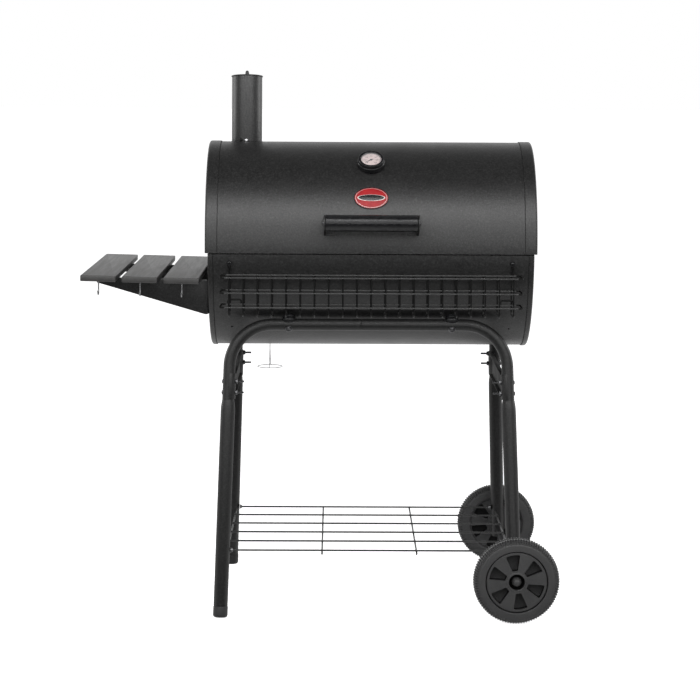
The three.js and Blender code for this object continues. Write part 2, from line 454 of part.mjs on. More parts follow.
// ---- front wire basket ----
home = drum;
{
  const { x: X, front, back, rails, bottom, wire: w, ribs, half } = BASKET, q = w / 2, parts = [];
  const p = q - 0.15, xs = Array.from({ length: ribs }, (_, k) => -half + (2 * half * k) / (ribs - 1));
  // each long side is one welded grid: rails with the upright wires between them
  const grid = (y0, y1) => {
    let m = box(-X - q, X + q, y0, y1, bottom, rails[0] + q);
    const gaps = [], edges = [-X - 9, ...xs, X + 9];
    for (let k = 0; k < edges.length - 1; k++) {
      const x0 = edges[k] + p, x1 = edges[k + 1] - p;
      gaps.push(box(x0, x1, y0 - 5, y1 + 5, rails[1] + q, rails[0] - q), box(x0, x1, y0 - 5, y1 + 5, rails[2] + q, rails[1] - q), box(x0, x1, y0 - 5, y1 + 5, bottom - 5, rails[2] - q));
    }
    return m.subtract(union(gaps));
  };
  parts.push(grid(front - q, front + q), grid(back - q, back + q));
  for (const x of xs) parts.push(box(x - p, x + p, front, back, bottom, bottom + 2 * p));
  for (const z of rails) for (const s of [-1, 1]) parts.push(box(s > 0 ? X - q : -X - q, s > 0 ? X + q : -X + q, front, back, z - q, z + q));
  for (const s of [-1, 1]) {
    const x = s * 328, y1 = -245.2, y0 = -247.8;
    const loop = box(x - 7.4, x + 7.4, y0, y1, 799, 838).subtract(box(x - 4.2, x + 4.2, y0 - 5, y1 + 5, 790, 834));
    parts.push(loop, box(x - 7.4, x - 4.2, back - 1, y1, 799, 802.2), box(x + 4.2, x + 7.4, back - 1, y1, 799, 802.2));
  }
  node("front_basket", union(parts), 0x262626, 0.45, 0.4);
}
// ring for the grease can, on two wires that clip into the drain hole
{
  const R = 30, n = 16, w = 1.6;
  const x0 = -241, z0 = 555;
  let ringSolid = lathe(Array.from({ length: 6 }, (_, k) => [R + w * Math.cos(rad(60 * k)), w * Math.sin(rad(60 * k))]), n).translate([x0, 0, z0]);
  const hang = (s) => tube([[x0, s * R, z0], [x0, s * R, z0 + 18], [x0, s * 3, 600], [x0, s * 3, 609.5]], [1, 0, 0], w, 0, 6);
  const top = tube([[x0, -4, 608], [x0, 4, 608]], [1, 0, 0], w, 0, 6);
  node("grease_can_ring", union([ringSolid, hang(-1), hang(1), top]), 0xb8b8b8, 0.3, 0.9);
}

export default group;
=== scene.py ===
import math
import random

import bmesh
import bpy
from mathutils import Matrix, Vector


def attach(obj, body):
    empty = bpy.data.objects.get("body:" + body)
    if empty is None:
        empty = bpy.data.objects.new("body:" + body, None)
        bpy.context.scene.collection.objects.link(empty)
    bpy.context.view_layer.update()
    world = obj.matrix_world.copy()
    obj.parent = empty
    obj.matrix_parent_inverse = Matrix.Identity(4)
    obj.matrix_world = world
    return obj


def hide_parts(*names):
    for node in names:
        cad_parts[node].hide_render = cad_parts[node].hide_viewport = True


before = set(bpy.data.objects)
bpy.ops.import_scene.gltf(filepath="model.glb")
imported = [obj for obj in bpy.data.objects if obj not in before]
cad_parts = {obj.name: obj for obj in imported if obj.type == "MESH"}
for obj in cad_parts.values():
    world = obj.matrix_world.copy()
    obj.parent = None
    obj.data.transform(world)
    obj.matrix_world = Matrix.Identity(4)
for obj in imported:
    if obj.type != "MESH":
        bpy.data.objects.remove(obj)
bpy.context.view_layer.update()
rnd = random.Random(7)

# ------------------------------------------------------------------ dimensions, mm, measured from the barrel's middle
OX, AZ = 113.25, 855.3
LEAN = math.radians(7.28)
LEG_X, SPLAY = (-330, 322), (0.0327, 0.0374)
RUN_Z, RUN_Y, BEND_R, SEAM_X = 681, 198, 102, -21
AXLE_X, WHEEL_R, WHEEL_Y = 340, 100.6, 331
CH_X, CH_A = -298, 97
GA = 53.2  # the gauge, degrees above the front


def rad(d):
    return math.radians(d)


# ------------------------------------------------------------------ mesh tools: a part is (vertices, faces) in mm
def shift(m, x=0, y=0, z=0):
    return [(a + x, b + y, c + z) for a, b, c in m[0]], m[1]


def xf(m, M):
    return [tuple(M @ Vector(v)) for v in m[0]], m[1]


def rot(m, axis, deg):
    return xf(m, Matrix.Rotation(rad(deg), 4, axis))


def join(*ms):
    V, F = [], []
    for m in ms:
        n = len(V)
        V += list(m[0])
        F += [tuple(i + n for i in f) for f in m[1]]
    return V, F


def joined(ms):
    return join(*list(ms))


def on_drum(m, deg, r=0.0, x=0.0):
    """Stands a part on the drum: its z along the radius at deg above the front, its y up round the drum."""
    M = Matrix.Translation((x, 0, AZ)) @ Matrix.Rotation(rad(90 - deg), 4, "X") @ Matrix.Translation((0, 0, r))
    return xf(m, M)


def rounded(pts, r, n=4, closed=True):
    """Corners of a path turned into arcs of radius r, a number or one for each point."""
    P = [Vector(p).to_3d() if len(p) == 2 else Vector(p) for p in pts]
    out, m = [], len(P)
    for i, p in enumerate(P):
        rr = r[i] if isinstance(r, (list, tuple)) else r
        if rr <= 0 or (not closed and i in (0, m - 1)):
            out.append(p)
            continue
        a, c = P[i - 1] - p, P[(i + 1) % m] - p
        la, lc = a.length, c.length
        a, c = a / la, c / lc
        ang = a.angle(c)
        if ang > 3.12 or ang < 0.02:
            out.append(p)
            continue
        t = min(rr / math.tan(ang / 2), la * 0.48, lc * 0.48)
        q = t * math.tan(ang / 2)
        ctr = p + (a + c).normalized() * (q / math.sin(ang / 2))
        v, w, f = p + a * t - ctr, p + c * t - ctr, math.pi - ang
        for k in range(n + 1):
            u = k / n
            out.append(ctr + v * (math.sin((1 - u) * f) / math.sin(f)) + w * (math.sin(u * f) / math.sin(f)))
    return out


def sweep(path, r, seg=12, closed=False, tip=0.35):
    """Round bar along a path. r is a number, or one for each point. Ends have a small chamfer."""
    P = [Vector(p) for p in path]
    R = list(r) if isinstance(r, (list, tuple)) else [r] * len(P)
    if not closed and tip:
        for end in (0, -1):
            other = 1 if end == 0 else -2
            d = (P[other] - P[end]).normalized()
            c = min(tip * R[end], (P[other] - P[end]).length * 0.4)
            if end == 0:
                P.insert(1, P[0] + d * c)
                R.insert(0, R[0] - c)
            else:
                P.insert(len(P) - 1, P[-1] + d * c)
                R.append(R[-1] - c)
    n = len(P)
    V, F, N = [], [], None
    for i in range(n):
        t = Vector((0, 0, 0))
        if i or closed:
            t += (P[i] - P[i - 1]).normalized()
        if i < n - 1 or closed:
            t += (P[(i + 1) % n] - P[i]).normalized()
        t.normalize()
        N = t.orthogonal().normalized() if N is None else (N - t * N.dot(t)).normalized()
        b = t.cross(N)
        for k in range(seg):
            f = 2 * math.pi * k / seg
            V.append(tuple(P[i] + (N * math.cos(f) + b * math.sin(f)) * R[i]))
    for i in range(n if closed else n - 1):
        j = (i + 1) % n
        for k in range(seg):
            l = (k + 1) % seg
            F.append((i * seg + k, i * seg + l, j * seg + l, j * seg + k))
    if not closed:
        F.append(tuple(range(seg - 1, -1, -1)))
        F.append(tuple((n - 1) * seg + k for k in range(seg)))
    return V, F


def pipe(path, ro, ri, seg=28):
    """Hollow round tube along a path, open at both ends, with flat ring lips."""
    P = [Vector(p) for p in path]
    RO = list(ro) if isinstance(ro, (list, tuple)) else [ro] * len(P)
    RI = list(ri) if isinstance(ri, (list, tuple)) else [ri] * len(P)
    outer, inner = sweep(P, RO, seg, tip=0), sweep(P, RI, seg, tip=0)
    n, o = len(P), len(outer[0])
    F = outer[1][:-2] + [tuple(reversed([i + o for i in f])) for f in inner[1][:-2]]
    for i, flip in ((0, 0), (n - 1, 1)):
        for k in range(seg):
            l = (k + 1) % seg
            q = (i * seg + l, i * seg + k, o + i * seg + k, o + i * seg + l)
            F.append(tuple(reversed(q)) if flip else q)
    return outer[0] + inner[0], F


def lathe(profile, seg=48, a0=0.0, a1=360.0):
    """Closed outline of (radius, height) turned round Z."""
    full = abs(a1 - a0 - 360) < 1e-6
    n, m = len(profile), seg if full else seg + 1
    V, F = [], []
    for i in range(m):
        a = rad(a0 + (a1 - a0) * i / seg)
        for p in profile:
            V.append((p[0] * math.cos(a), p[0] * math.sin(a), p[1]))
    for i in range(seg):
        j = (i + 1) % m
        for k in range(n):
            l = (k + 1) % n
            if max(profile[k][0], profile[l][0]) > 1e-9:
                F.append((i * n + k, j * n + k, j * n + l, i * n + l))
    if not full:
        F.append(tuple(range(n - 1, -1, -1)))
        F.append(tuple((m - 1) * n + k for k in range(n)))
    return V, F


def prism(outline, z0, z1):
    n = len(outline)
    V = [(p[0], p[1], z0) for p in outline] + [(p[0], p[1], z1) for p in outline]
    F = [tuple(range(n - 1, -1, -1)), tuple(range(n, 2 * n))]
    F += [(k, (k + 1) % n, n + (k + 1) % n, n + k) for k in range(n)]
    return V, F


def block(x0, x1, y0, y1, z0, z1, b=0.6, s=2):
    return bevel(shift(prism([(x0, y0), (x1, y0), (x1, y1), (x0, y1)], z0, z1)), b, s)


def slab(yz, x0, x1):
    """A flat Y-Z outline run along X."""
    V, F = prism(yz, x0, x1)
    return [(c, a, b) for a, b, c in V], F


def xzslab(xz, y0, y1):
    V, F = prism(xz, y0, y1)
    return [(a, c, b) for a, b, c in V], F


def to_bm(m):
    bm = bmesh.new()
    vs = [bm.verts.new(v) for v in m[0]]
    for f in m[1]:
        if len(set(f)) > 2:
            try:
                bm.faces.new([vs[i] for i in f])
            except ValueError:
                pass
    bmesh.ops.remove_doubles(bm, verts=bm.verts, dist=1e-4)
    bmesh.ops.recalc_face_normals(bm, faces=bm.faces)
    return bm


def from_bm(bm):
    bm.verts.index_update()
    out = [tuple(v.co) for v in bm.verts], [tuple(v.index for v in f.verts) for f in bm.faces]
    bm.free()
    return out


def bevel(m, width, segs=2, angle=25):
    bm = to_bm(m)
    edges = [e for e in bm.edges if len(e.link_faces) == 2 and e.calc_face_angle(0) > rad(angle)]
    bmesh.ops.bevel(bm, geom=edges, offset=width, offset_type="OFFSET", segments=segs, profile=0.5, affect="EDGES", clamp_overlap=True)
    return from_bm(bm)


def halve(m, point, normal):
    """Keeps what lies behind the plane, and closes the cut."""
    bm = to_bm(m)
    bmesh.ops.bisect_plane(bm, geom=bm.verts[:] + bm.edges[:] + bm.faces[:], plane_co=point, plane_no=normal, clear_outer=True, dist=1e-5)
    rim = [e for e in bm.edges if e.is_boundary]
    bmesh.ops.triangle_fill(bm, use_beauty=True, edges=rim, normal=normal)
    bmesh.ops.recalc_face_normals(bm, faces=bm.faces)
    return from_bm(bm)


def as_mesh(m, name="tmp", scale=1.0):
    bm = to_bm(m)
    if scale != 1.0:
        for v in bm.verts:
            v.co = Vector(((v.co.x + OX) * scale, v.co.y * scale, v.co.z * scale))
    me = bpy.data.meshes.new(name)
    bm.to_mesh(me)
    bm.free()
    return me


def cut(m, *cutters):
    """m with each cutter taken out of it."""
    a = bpy.data.objects.new("tmp_a", as_mesh(m))
    bpy.context.scene.collection.objects.link(a)
    made = []
    for c in cutters:
        b = bpy.data.objects.new("tmp_b", as_mesh(c))
        bpy.context.scene.collection.objects.link(b)
        mod = a.modifiers.new("cut", "BOOLEAN")
        mod.object, mod.operation, mod.solver = b, "DIFFERENCE", "EXACT"
        made.append(b)
    dg = bpy.context.evaluated_depsgraph_get()
    dg.update()
    me = bpy.data.meshes.new_from_object(a.evaluated_get(dg))
    out = [tuple(v.co) for v in me.vertices], [tuple(p.vertices) for p in me.polygons]
    for o in [a, *made]:
        d = o.data
        bpy.data.objects.remove(o)
        bpy.data.meshes.remove(d)
    bpy.data.meshes.remove(me)
    return out


def piece(name, m, mat, body, replaces=(), sharp=32):
    me = as_mesh(m, name, 0.001)
    me.shade_smooth()
    me.set_sharp_from_angle(angle=rad(sharp))
    o = bpy.data.objects.new(name, me)
    bpy.context.scene.collection.objects.link(o)
    me.materials.append(mat)
    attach(o, body)
    if replaces:
        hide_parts(*([replaces] if isinstance(replaces, str) else replaces))
    return o


# ------------------------------------------------------------------ materials, all from procedural nodes
class Mat:
    def __init__(self, name):
        self.m = bpy.data.materials.new(name)
        self.m.use_nodes = True
        self.t = self.m.node_tree
        self.b = self.t.nodes["Principled BSDF"]
        self.co = self.t.nodes.new("ShaderNodeTexCoord").outputs["Object"]

    def n(self, kind, **values):
        node = self.t.nodes.new(kind)
        for k, v in values.items():
            if k in node.inputs:
                node.inputs[k].default_value = v
            else:
                setattr(node, k, v)
        return node

    def link(self, a, b):
        self.t.links.new(a, b)

    def noise(self, scale, detail=3.0, rough=0.55, stretch=None, vec=None):
        v = vec or self.co
        if stretch:
            mp = self.n("ShaderNodeMapping")
            mp.inputs["Scale"].default_value = stretch
            self.link(v, mp.inputs["Vector"])
            v = mp.outputs[0]
        node = self.n("ShaderNodeTexNoise", Scale=scale, Detail=detail, Roughness=rough)
        self.link(v, node.inputs["Vector"])
        return node.outputs["Fac"]

    def cells(self, scale, feature="F1"):
        node = self.n("ShaderNodeTexVoronoi", feature=feature, Scale=scale)
        self.link(self.co, node.inputs["Vector"])
        return node.outputs["Distance"]

    def ramp(self, fac, *stops):
        node = self.n("ShaderNodeValToRGB")
        cr = node.color_ramp
        while len(cr.elements) < len(stops):
            cr.elements.new(0.5)
        for e, (pos, col) in zip(cr.elements, stops):
            e.position = pos
            e.color = (*col, 1) if isinstance(col, (tuple, list)) else (col, col, col, 1)
        self.link(fac, node.inputs["Fac"])
        return node.outputs["Color"]

    def map(self, fac, lo, hi, a=0.3, b=0.7):
        node = self.n("ShaderNodeMapRange")
        for k, v in (("From Min", a), ("From Max", b), ("To Min", lo), ("To Max", hi)):
            node.inputs[k].default_value = v
        self.link(fac, node.inputs["Value"])
        return node.outputs["Result"]

    def mix(self, fac, a, b, mode="MIX"):
        node = self.n("ShaderNodeMix", data_type="RGBA", blend_type=mode)
        for i, v in ((6, a), (7, b)):
            if hasattr(v, "is_linked"):
                self.link(v, node.inputs[i])
            else:
                node.inputs[i].default_value = (*v, 1)
        if hasattr(fac, "is_linked"):
            self.link(fac, node.inputs[0])
        else:
            node.inputs[0].default_value = fac
        return node.outputs[2]

    def bump(self, height, strength, distance, under=None):
        node = self.n("ShaderNodeBump", Strength=strength, Distance=distance)
        self.link(height, node.inputs["Height"])
        if under is not None:
            self.link(under, node.inputs["Normal"])
        return node.outputs["Normal"]

    def done(self, color, rough, normal=None, **values):
        for key, v in (("Base Color", color), ("Roughness", rough), ("Normal", normal)):
            if v is not None:
                if hasattr(v, "is_linked"):
                    self.link(v, self.b.inputs[key])
                else:
                    self.b.inputs[key].default_value = v
        for k, v in values.items():
            key = k.replace("_", " ")
            if hasattr(v, "is_linked"):
                self.link(v, self.b.inputs[key])
            else:
                self.b.inputs[key].default_value = v
        return self.m


def powder(name, dark, light, r0, r1, grain=1.0, wave=0.0, gloss=0.5):
    """Black powder coat: pebbled orange-peel skin with fine bright grain."""
    m = Mat(name)
    fine, peel, big = m.noise(900, 2, 0.6), m.noise(250, 3, 0.7), m.noise(9, 3, 0.55)
    speck = m.cells(620)
    col = m.mix(m.map(fine, 0, 1, 0.42, 0.66), (dark,) * 3, (light,) * 3)
    col = m.mix(m.map(big, 0.0, 0.35), col, (dark * 1.25, dark * 1.24, dark * 1.22))
    col = m.mix(m.map(peel, 0.0, 0.66 * min(grain, 1), 0.52, 0.72), col, (light * 2.1,) * 3)
    col = m.mix(m.map(peel, 0.9 * min(grain, 1), 0.0, 0.32, 0.48), col, (dark * 0.25,) * 3)
    bright = m.ramp(speck, (0.0, 1.0), (0.19, 0.0))
    col = m.mix(m.map(bright, 0, 0.65, 0, 1), col, (light * 2.6,) * 3)
    rough = m.map(m.noise(14, 4, 0.6), r0, r1)
    nrm = m.bump(big, wave, 0.004) if wave else None
    nrm = m.bump(peel, 0.36 * grain, 0.0009, nrm)
    nrm = m.bump(fine, 0.5 * grain, 0.0003, nrm)
    return m.done(col, rough, nrm, Specular_IOR_Level=gloss)


def metal(name, lo, hi, r0, r1, scale=60, brushed=None, metallic=1.0):
    m = Mat(name)
    a = m.noise(scale, 4, 0.6, stretch=brushed)
    b = m.noise(scale * 9, 2, 0.5)
    col = m.mix(m.map(a, 0, 1), lo, hi)
    return m.done(col, m.map(b, r0, r1), m.bump(b, 0.12, 0.0002), Metallic=metallic)


paint = powder("black_powder_coat", 0.009, 0.022, 0.30, 0.36, 1.0, 0.04)
paint_leg = powder("black_tube_coat", 0.008, 0.018, 0.38, 0.46, 0.7, 0.0, 0.42)
# painted shade: a darker, duller copy of the black powder coat, for the shade on the braces between the legs
brace_coat_painted_shade = powder("black_brace_coat_painted_shade", 0.003, 0.007, 0.5, 0.6, 0.5, 0.0, 0.12)
paint_in = powder("black_inner_coat", 0.010, 0.022, 0.5, 0.62, 0.8)
paint_bracket = powder("black_bracket_coat", 0.010, 0.024, 0.36, 0.46, 0.8)
# painted shade: a darker, duller copy of the black wire coat, for the shade on the basket's ribs, end links and hangers
wire = powder("black_wire_coat_painted_shade", 0.003, 0.007, 0.42, 0.52, 0.3, 0.0, 0.14)
rack_wire = powder("black_rack_wire_coat", 0.010, 0.024, 0.28, 0.38, 0.4, 0.0, 0.4)
pale = metal("pale_plated_wire", (0.62, 0.62, 0.63), (0.82, 0.82, 0.83), 0.3, 0.42, 200, metallic=0.35)
hook_m = metal("hook_plate", (0.26, 0.26, 0.265), (0.42, 0.42, 0.43), 0.22, 0.34, 240)
# painted highlight: a lighter, glossier copy of the black wire coat, for the light along the basket's rails and rib
# feet
lit_rail_coat = powder("black_rail_coat_painted_highlight", 0.016, 0.036, 0.20, 0.30, 0.5)
steel = metal("dark_screw_steel", (0.05, 0.05, 0.052), (0.16, 0.16, 0.165), 0.22, 0.42, 300)
bright = metal("bright_screw_steel", (0.42, 0.42, 0.43), (0.66, 0.66, 0.67), 0.16, 0.32, 300)
plated = metal("plated_wire", (0.55, 0.55, 0.56), (0.8, 0.8, 0.81), 0.12, 0.25, 120)


def m_gauge():
    m = Mat("gauge_black_gloss")
    a = m.noise(40, 3)
    b = m.noise(420, 2)
    return m.done(m.mix(m.map(a, 0, 1), (0.006, 0.006, 0.007), (0.014, 0.014, 0.015)), m.map(a, 0.12, 0.22), m.bump(b, 0.06, 0.0002), Specular_IOR_Level=0.3)


def m_dial():
    m = Mat("gauge_face_enamel")
    a = m.noise(70, 4)
    col = m.mix(m.map(a, 0, 1), (0.56, 0.44, 0.43), (0.66, 0.53, 0.52))
    return m.done(col, m.map(a, 0.35, 0.5), m.bump(m.noise(900, 2), 0.05, 0.0001))


def m_print():
    m = Mat("gauge_print")
    a = m.noise(500, 2)
    return m.done(m.mix(m.map(a, 0, 1), (0.01, 0.01, 0.012), (0.03, 0.03, 0.034)), m.map(a, 0.4, 0.55))


def m_lens():
    m = Mat("gauge_window_glass")
    a = m.noise(60, 2)
    return m.done(m.mix(m.map(a, 0, 1), (0.86, 0.88, 0.88), (0.95, 0.96, 0.96)), m.map(a, 0.03, 0.06), None, Alpha=m.map(a, 0.06, 0.1), IOR=1.45)


def m_badge():
    m = Mat("badge_red_enamel")
    a, b = m.noise(60, 4), m.noise(700, 2)
    col = m.mix(m.map(a, 0, 1), (0.30, 0.009, 0.013), (0.42, 0.018, 0.022))
    return m.done(col, m.map(a, 0.30, 0.40), m.bump(b, 0.08, 0.0002), Specular_IOR_Level=0.28)


def m_line():
    m = Mat("badge_pale_line")
    a = m.noise(300, 3)
    return m.done(m.mix(m.map(a, 0, 1), (0.55, 0.5, 0.48), (0.75, 0.7, 0.68)), m.map(a, 0.25, 0.35), Metallic=0.3)


def m_rim():
    m = Mat("badge_dark_rim")
    a = m.noise(300, 3)
    return m.done(m.mix(m.map(a, 0, 1), (0.008, 0.008, 0.009), (0.02, 0.018, 0.018)), m.map(a, 0.2, 0.34))


def m_grip():
    """Glossy moulded grip with long shallow ripples."""
    m = Mat("grip_gloss_black")
    long = m.noise(34, 5, 0.62, stretch=(1.0, 3.2, 3.2))
    small = m.noise(260, 3, 0.6, stretch=(0.45, 1.4, 1.4))
    col = m.mix(m.map(small, 0, 1), (0.006, 0.006, 0.007), (0.016, 0.016, 0.017))
    nrm = m.bump(long, 0.36, 0.0024)
    nrm = m.bump(small, 0.22, 0.0005, nrm)
    return m.done(col, m.map(long, 0.06, 0.13), nrm, Specular_IOR_Level=0.34)


def m_iron():
    m = Mat("cast_iron")
    a, b, c = m.noise(40, 5, 0.65), m.noise(520, 4, 0.65), m.cells(260)
    col = m.mix(m.map(a, 0, 1), (0.012, 0.0115, 0.011), (0.034, 0.032, 0.030))
    nrm = m.bump(c, 0.25, 0.0007)
    nrm = m.bump(b, 0.55, 0.0006, nrm)
    return m.done(col, m.map(b, 0.5, 0.72), nrm, Metallic=0.35)


def m_tray():
    m = Mat("tray_steel")
    a, b = m.noise(18, 5, 0.6), m.noise(300, 3, 0.6)
    col = m.mix(m.map(a, 0, 1), (0.018, 0.017, 0.016), (0.06, 0.056, 0.052))
    return m.done(col, m.map(a, 0.45, 0.68), m.bump(b, 0.3, 0.0005), Metallic=0.6)


def m_wood():
    """Black-painted wooden slat: satin paint, with the grain showing through along the slat."""
    m = Mat("painted_wood")
    grain = m.noise(110, 6, 0.68, stretch=(1.0, 0.055, 1.0))
    ring = m.noise(28, 3, 0.5, stretch=(1.0, 0.10, 1.0))
    fine = m.noise(1200, 2, 0.5, stretch=(1.0, 0.10, 1.0))
    col = m.mix(m.map(grain, 0, 1), (0.036, 0.035, 0.0345), (0.050, 0.049, 0.048))
    col = m.mix(m.map(ring, 0, 0.4), col, (0.058, 0.057, 0.056))
    nrm = m.bump(grain, 0.12, 0.0005)
    nrm = m.bump(fine, 0.25, 0.0003, nrm)
    return m.done(col, m.map(grain, 0.32, 0.44), nrm)


def m_wheel():
    """Moulded dark grey plastic, with painted shade, near black and with little reflection, in the deep pockets and the
    hub recess; lighter on the outermost tips of the tread.
    """
    m = Mat("wheel_plastic")
    a, b, c = m.noise(26, 4, 0.6), m.noise(900, 2, 0.6), m.noise(260, 2)
    sep = m.n("ShaderNodeSeparateXYZ")
    m.link(m.co, sep.inputs[0])

    def math_(op, x, y=None):
        node = m.n("ShaderNodeMath", operation=op)
        for i, v in enumerate((x, y)):
            if hasattr(v, "is_linked"):
                m.link(v, node.inputs[i])
            elif v is not None:
                node.inputs[i].default_value = v
        return node.outputs[0]

    dx, dz = math_("SUBTRACT", sep.outputs["X"], 0.45325), math_("SUBTRACT", sep.outputs["Z"], 0.1006)
    rad_ = math_("SQRT", math_("ADD", math_("MULTIPLY", dx, dx), math_("MULTIPLY", dz, dz)))
    depth = math_("ABSOLUTE", sep.outputs["Y"])
    # painted shade: a mask by depth below the wheel's face, near black in the pockets and the hub recess
    recess = m.ramp(m.map(depth, 0, 1, 0.3150, 0.3500), (0.08, 0), (0.109, 0.85), (0.357, 0.85), (0.394, 0.3), (0.434, 0.3), (0.463, 1), (0.657, 1), (0.957, 0))
    recess = math_("MULTIPLY", recess, m.map(rad_, 1, 0, 0.0724, 0.0730))
    col = m.mix(m.map(b, 0, 1), (0.022, 0.022, 0.0225), (0.042, 0.042, 0.043))
    col = m.mix(m.map(a, 0, 0.3), col, (0.055, 0.054, 0.053))
    col = m.mix(m.map(rad_, 0, 0.9, 0.0985, 0.1004), col, (0.24, 0.24, 0.24))
    # painted shade laid into the colour of the pockets and the hub recess; the same mask lowers their specular below
    col = m.mix(recess, col, (0.003, 0.003, 0.003))
    nrm = m.bump(c, 0.15, 0.0004)
    nrm = m.bump(b, 0.4, 0.0003, nrm)
    return m.done(col, m.map(a, 0.5, 0.62), nrm, Specular_IOR_Level=m.map(recess, 0.5, 0.04, 0, 1))


def m_foot():
    m = Mat("foot_plastic")
    a, b = m.noise(50, 3), m.noise(900, 2)
    return m.done(m.mix(m.map(a, 0, 1), (0.010, 0.010, 0.0105), (0.02, 0.02, 0.021)), m.map(b, 0.42, 0.55), m.bump(b, 0.3, 0.0003))


gauge_m, dial_m, print_m, lens_m = m_gauge(), m_dial(), m_print(), m_lens()
badge_m, line_m, rim_m, grip_m = m_badge(), m_line(), m_rim(), m_grip()
iron_m, tray_m, wood_m, wheel_m, foot_m = m_iron(), m_tray(), m_wood(), m_wheel(), m_foot()


# ------------------------------------------------------------------ small hardware
def cross_head(r, h, seg=24):
    """Pan head with a cross recess, its seat at z 0."""
    dome = [(0, 0), (r, 0), (r, h * 0.28), (r * 0.94, h * 0.55), (r * 0.78, h * 0.80), (r * 0.5, h * 0.95), (0, h)]
    m = lathe(dome, seg)
    w, l = r * 0.13, r * 0.58
    star = [(w, -l), (w, -w), (l, -w), (l, w), (w, w), (w, l), (-w, l), (-w, w), (-l, w), (-l, -w), (-w, -w), (-w, -l)]
    return cut(m, prism(star, h * 0.42, h * 2))


def hexagon(af, h, c=0.5):
    r = af / math.sqrt(3)
    pts = [(r * math.cos(rad(60 * k + 30)), r * math.sin(rad(60 * k + 30))) for k in range(6)]
    return bevel(prism(pts, 0, h), c, 2)


def thread(r, length, pitch=1.4, seg=14):
    """A screw's turned ridges."""
    pts, z = [(0, 0)], 0.0
    while z < length - pitch:
        pts += [(r * 0.86, z), (r, z + pitch * 0.5)]
        z += pitch
    pts += [(r * 0.86, z), (r * 0.8, length), (0, length)]
    return lathe(pts, seg)


HEAD5, HEAD7, HEAD4 = cross_head(5.6, 3.6), cross_head(7.4, 4.4), cross_head(4, 2.6)


def rivet(r, h, seg=20):
    return lathe([(0, 0), (r, 0), (r * 0.97, h * 0.35), (r * 0.8, h * 0.72), (r * 0.45, h * 0.94), (0, h)], seg)


def sector(r0, r1, mid, half, z0, z1, n=8):
    pts = [(r1 * math.cos(rad(mid - half + 2 * half * k / n)), r1 * math.sin(rad(mid - half + 2 * half * k / n))) for k in range(n + 1)]
    pts += [(r0 * math.cos(rad(mid + half - 2 * half * k / n)), r0 * math.sin(rad(mid + half - 2 * half * k / n))) for k in range(n + 1)]
    pts = rounded(pts, [2.5 if k in (0, n, n + 1, 2 * n + 1) else 0 for k in range(len(pts))], 3)
    return prism(pts, z0, z1)


# ------------------------------------------------------------------ drum: sheets and end caps
def sheet(ro, ri, half, a0, a1, n):
    """Sheet bent round the barrel's axis, its two straight edges cut square."""
    pts = []
    for k in range(n + 1):
        a = rad(a0 + (a1 - a0) * k / n)
        pts.append((-ro * math.cos(a), AZ + ro * math.sin(a)))
    for k in range(n, -1, -1):
        a = rad(a0 + (a1 - a0) * k / n)
        pts.append((-ri * math.cos(a), AZ + ri * math.sin(a)))
    m = len(pts)
    xs = [-half, -half + 0.5, half - 0.5, half]
    V = [(x, p[0], p[1]) for x in xs for p in pts]
    F = []
    for s in range(len(xs) - 1):
        F += [(s * m + k, s * m + (k + 1) % m, (s + 1) * m + (k + 1) % m, (s + 1) * m + k) for k in range(m)]
    for k in range(n):  # end strips
        o, i = k, m - 1 - k
        F.append((o, o + 1, i - 1, i))
        e = (len(xs) - 1) * m
        F.append((e + i, e + i - 1, e + o + 1, e + o))
    return V, F


def cap_profile(R, half, flange):
    out = rounded([(0, half), (R, half), (R, half - flange), (R - 1.5, half - flange), (R - 1.5, half - 1.5), (0, half - 1.5)], [0, 5.6, 0.5, 0.5, 4.2, 0], 7)
    return [(p.x, p.y) for p in out]


def end_cap(R, half, flange, side, up):
    m = lathe(cap_profile(R, half, flange), 160)
    m = rot(m, "Y", 90 if side > 0 else -90)
    m = shift(m, 0, 0, AZ)
    return halve(m, (0, 0, 851.3), (0, 0, -1)) if up else halve(m, (0, 0, 849), (0, 0, 1))


def tube_along(r, z0, z1, seg=40):
    return lathe([(0, z0), (r, z0), (r, z1), (0, z1)], seg)


a_low = math.degrees(math.asin((851.3 - AZ) / 245.8))
hood = sheet(245.8, 244.2, 355.9, a_low, 180 - a_low, 110)
hood = cut(hood, on_drum(tube_along(36.9, 215, 260), CH_A, 0, CH_X), on_drum(tube_along(5, 225, 262, 20), GA))
piece("lid_sheet", hood, paint, "lid", "hood_shell", 20)
for s in (-1, 1):
    strip = sheet(244.1, 242.6, 10.2, a_low, 180 - a_low, 110)
    piece("lid_joint_left" if s < 0 else "lid_joint_right", shift(strip, s * 360.2), paint_in, "lid", sharp=20)
piece("lid_cap_left", end_cap(247.7, 385.4, 28, -1, True), paint, "lid", "hood_left_end")
piece("lid_cap_right", end_cap(247.7, 385.4, 28, 1, True), paint, "lid", "hood_right_end")

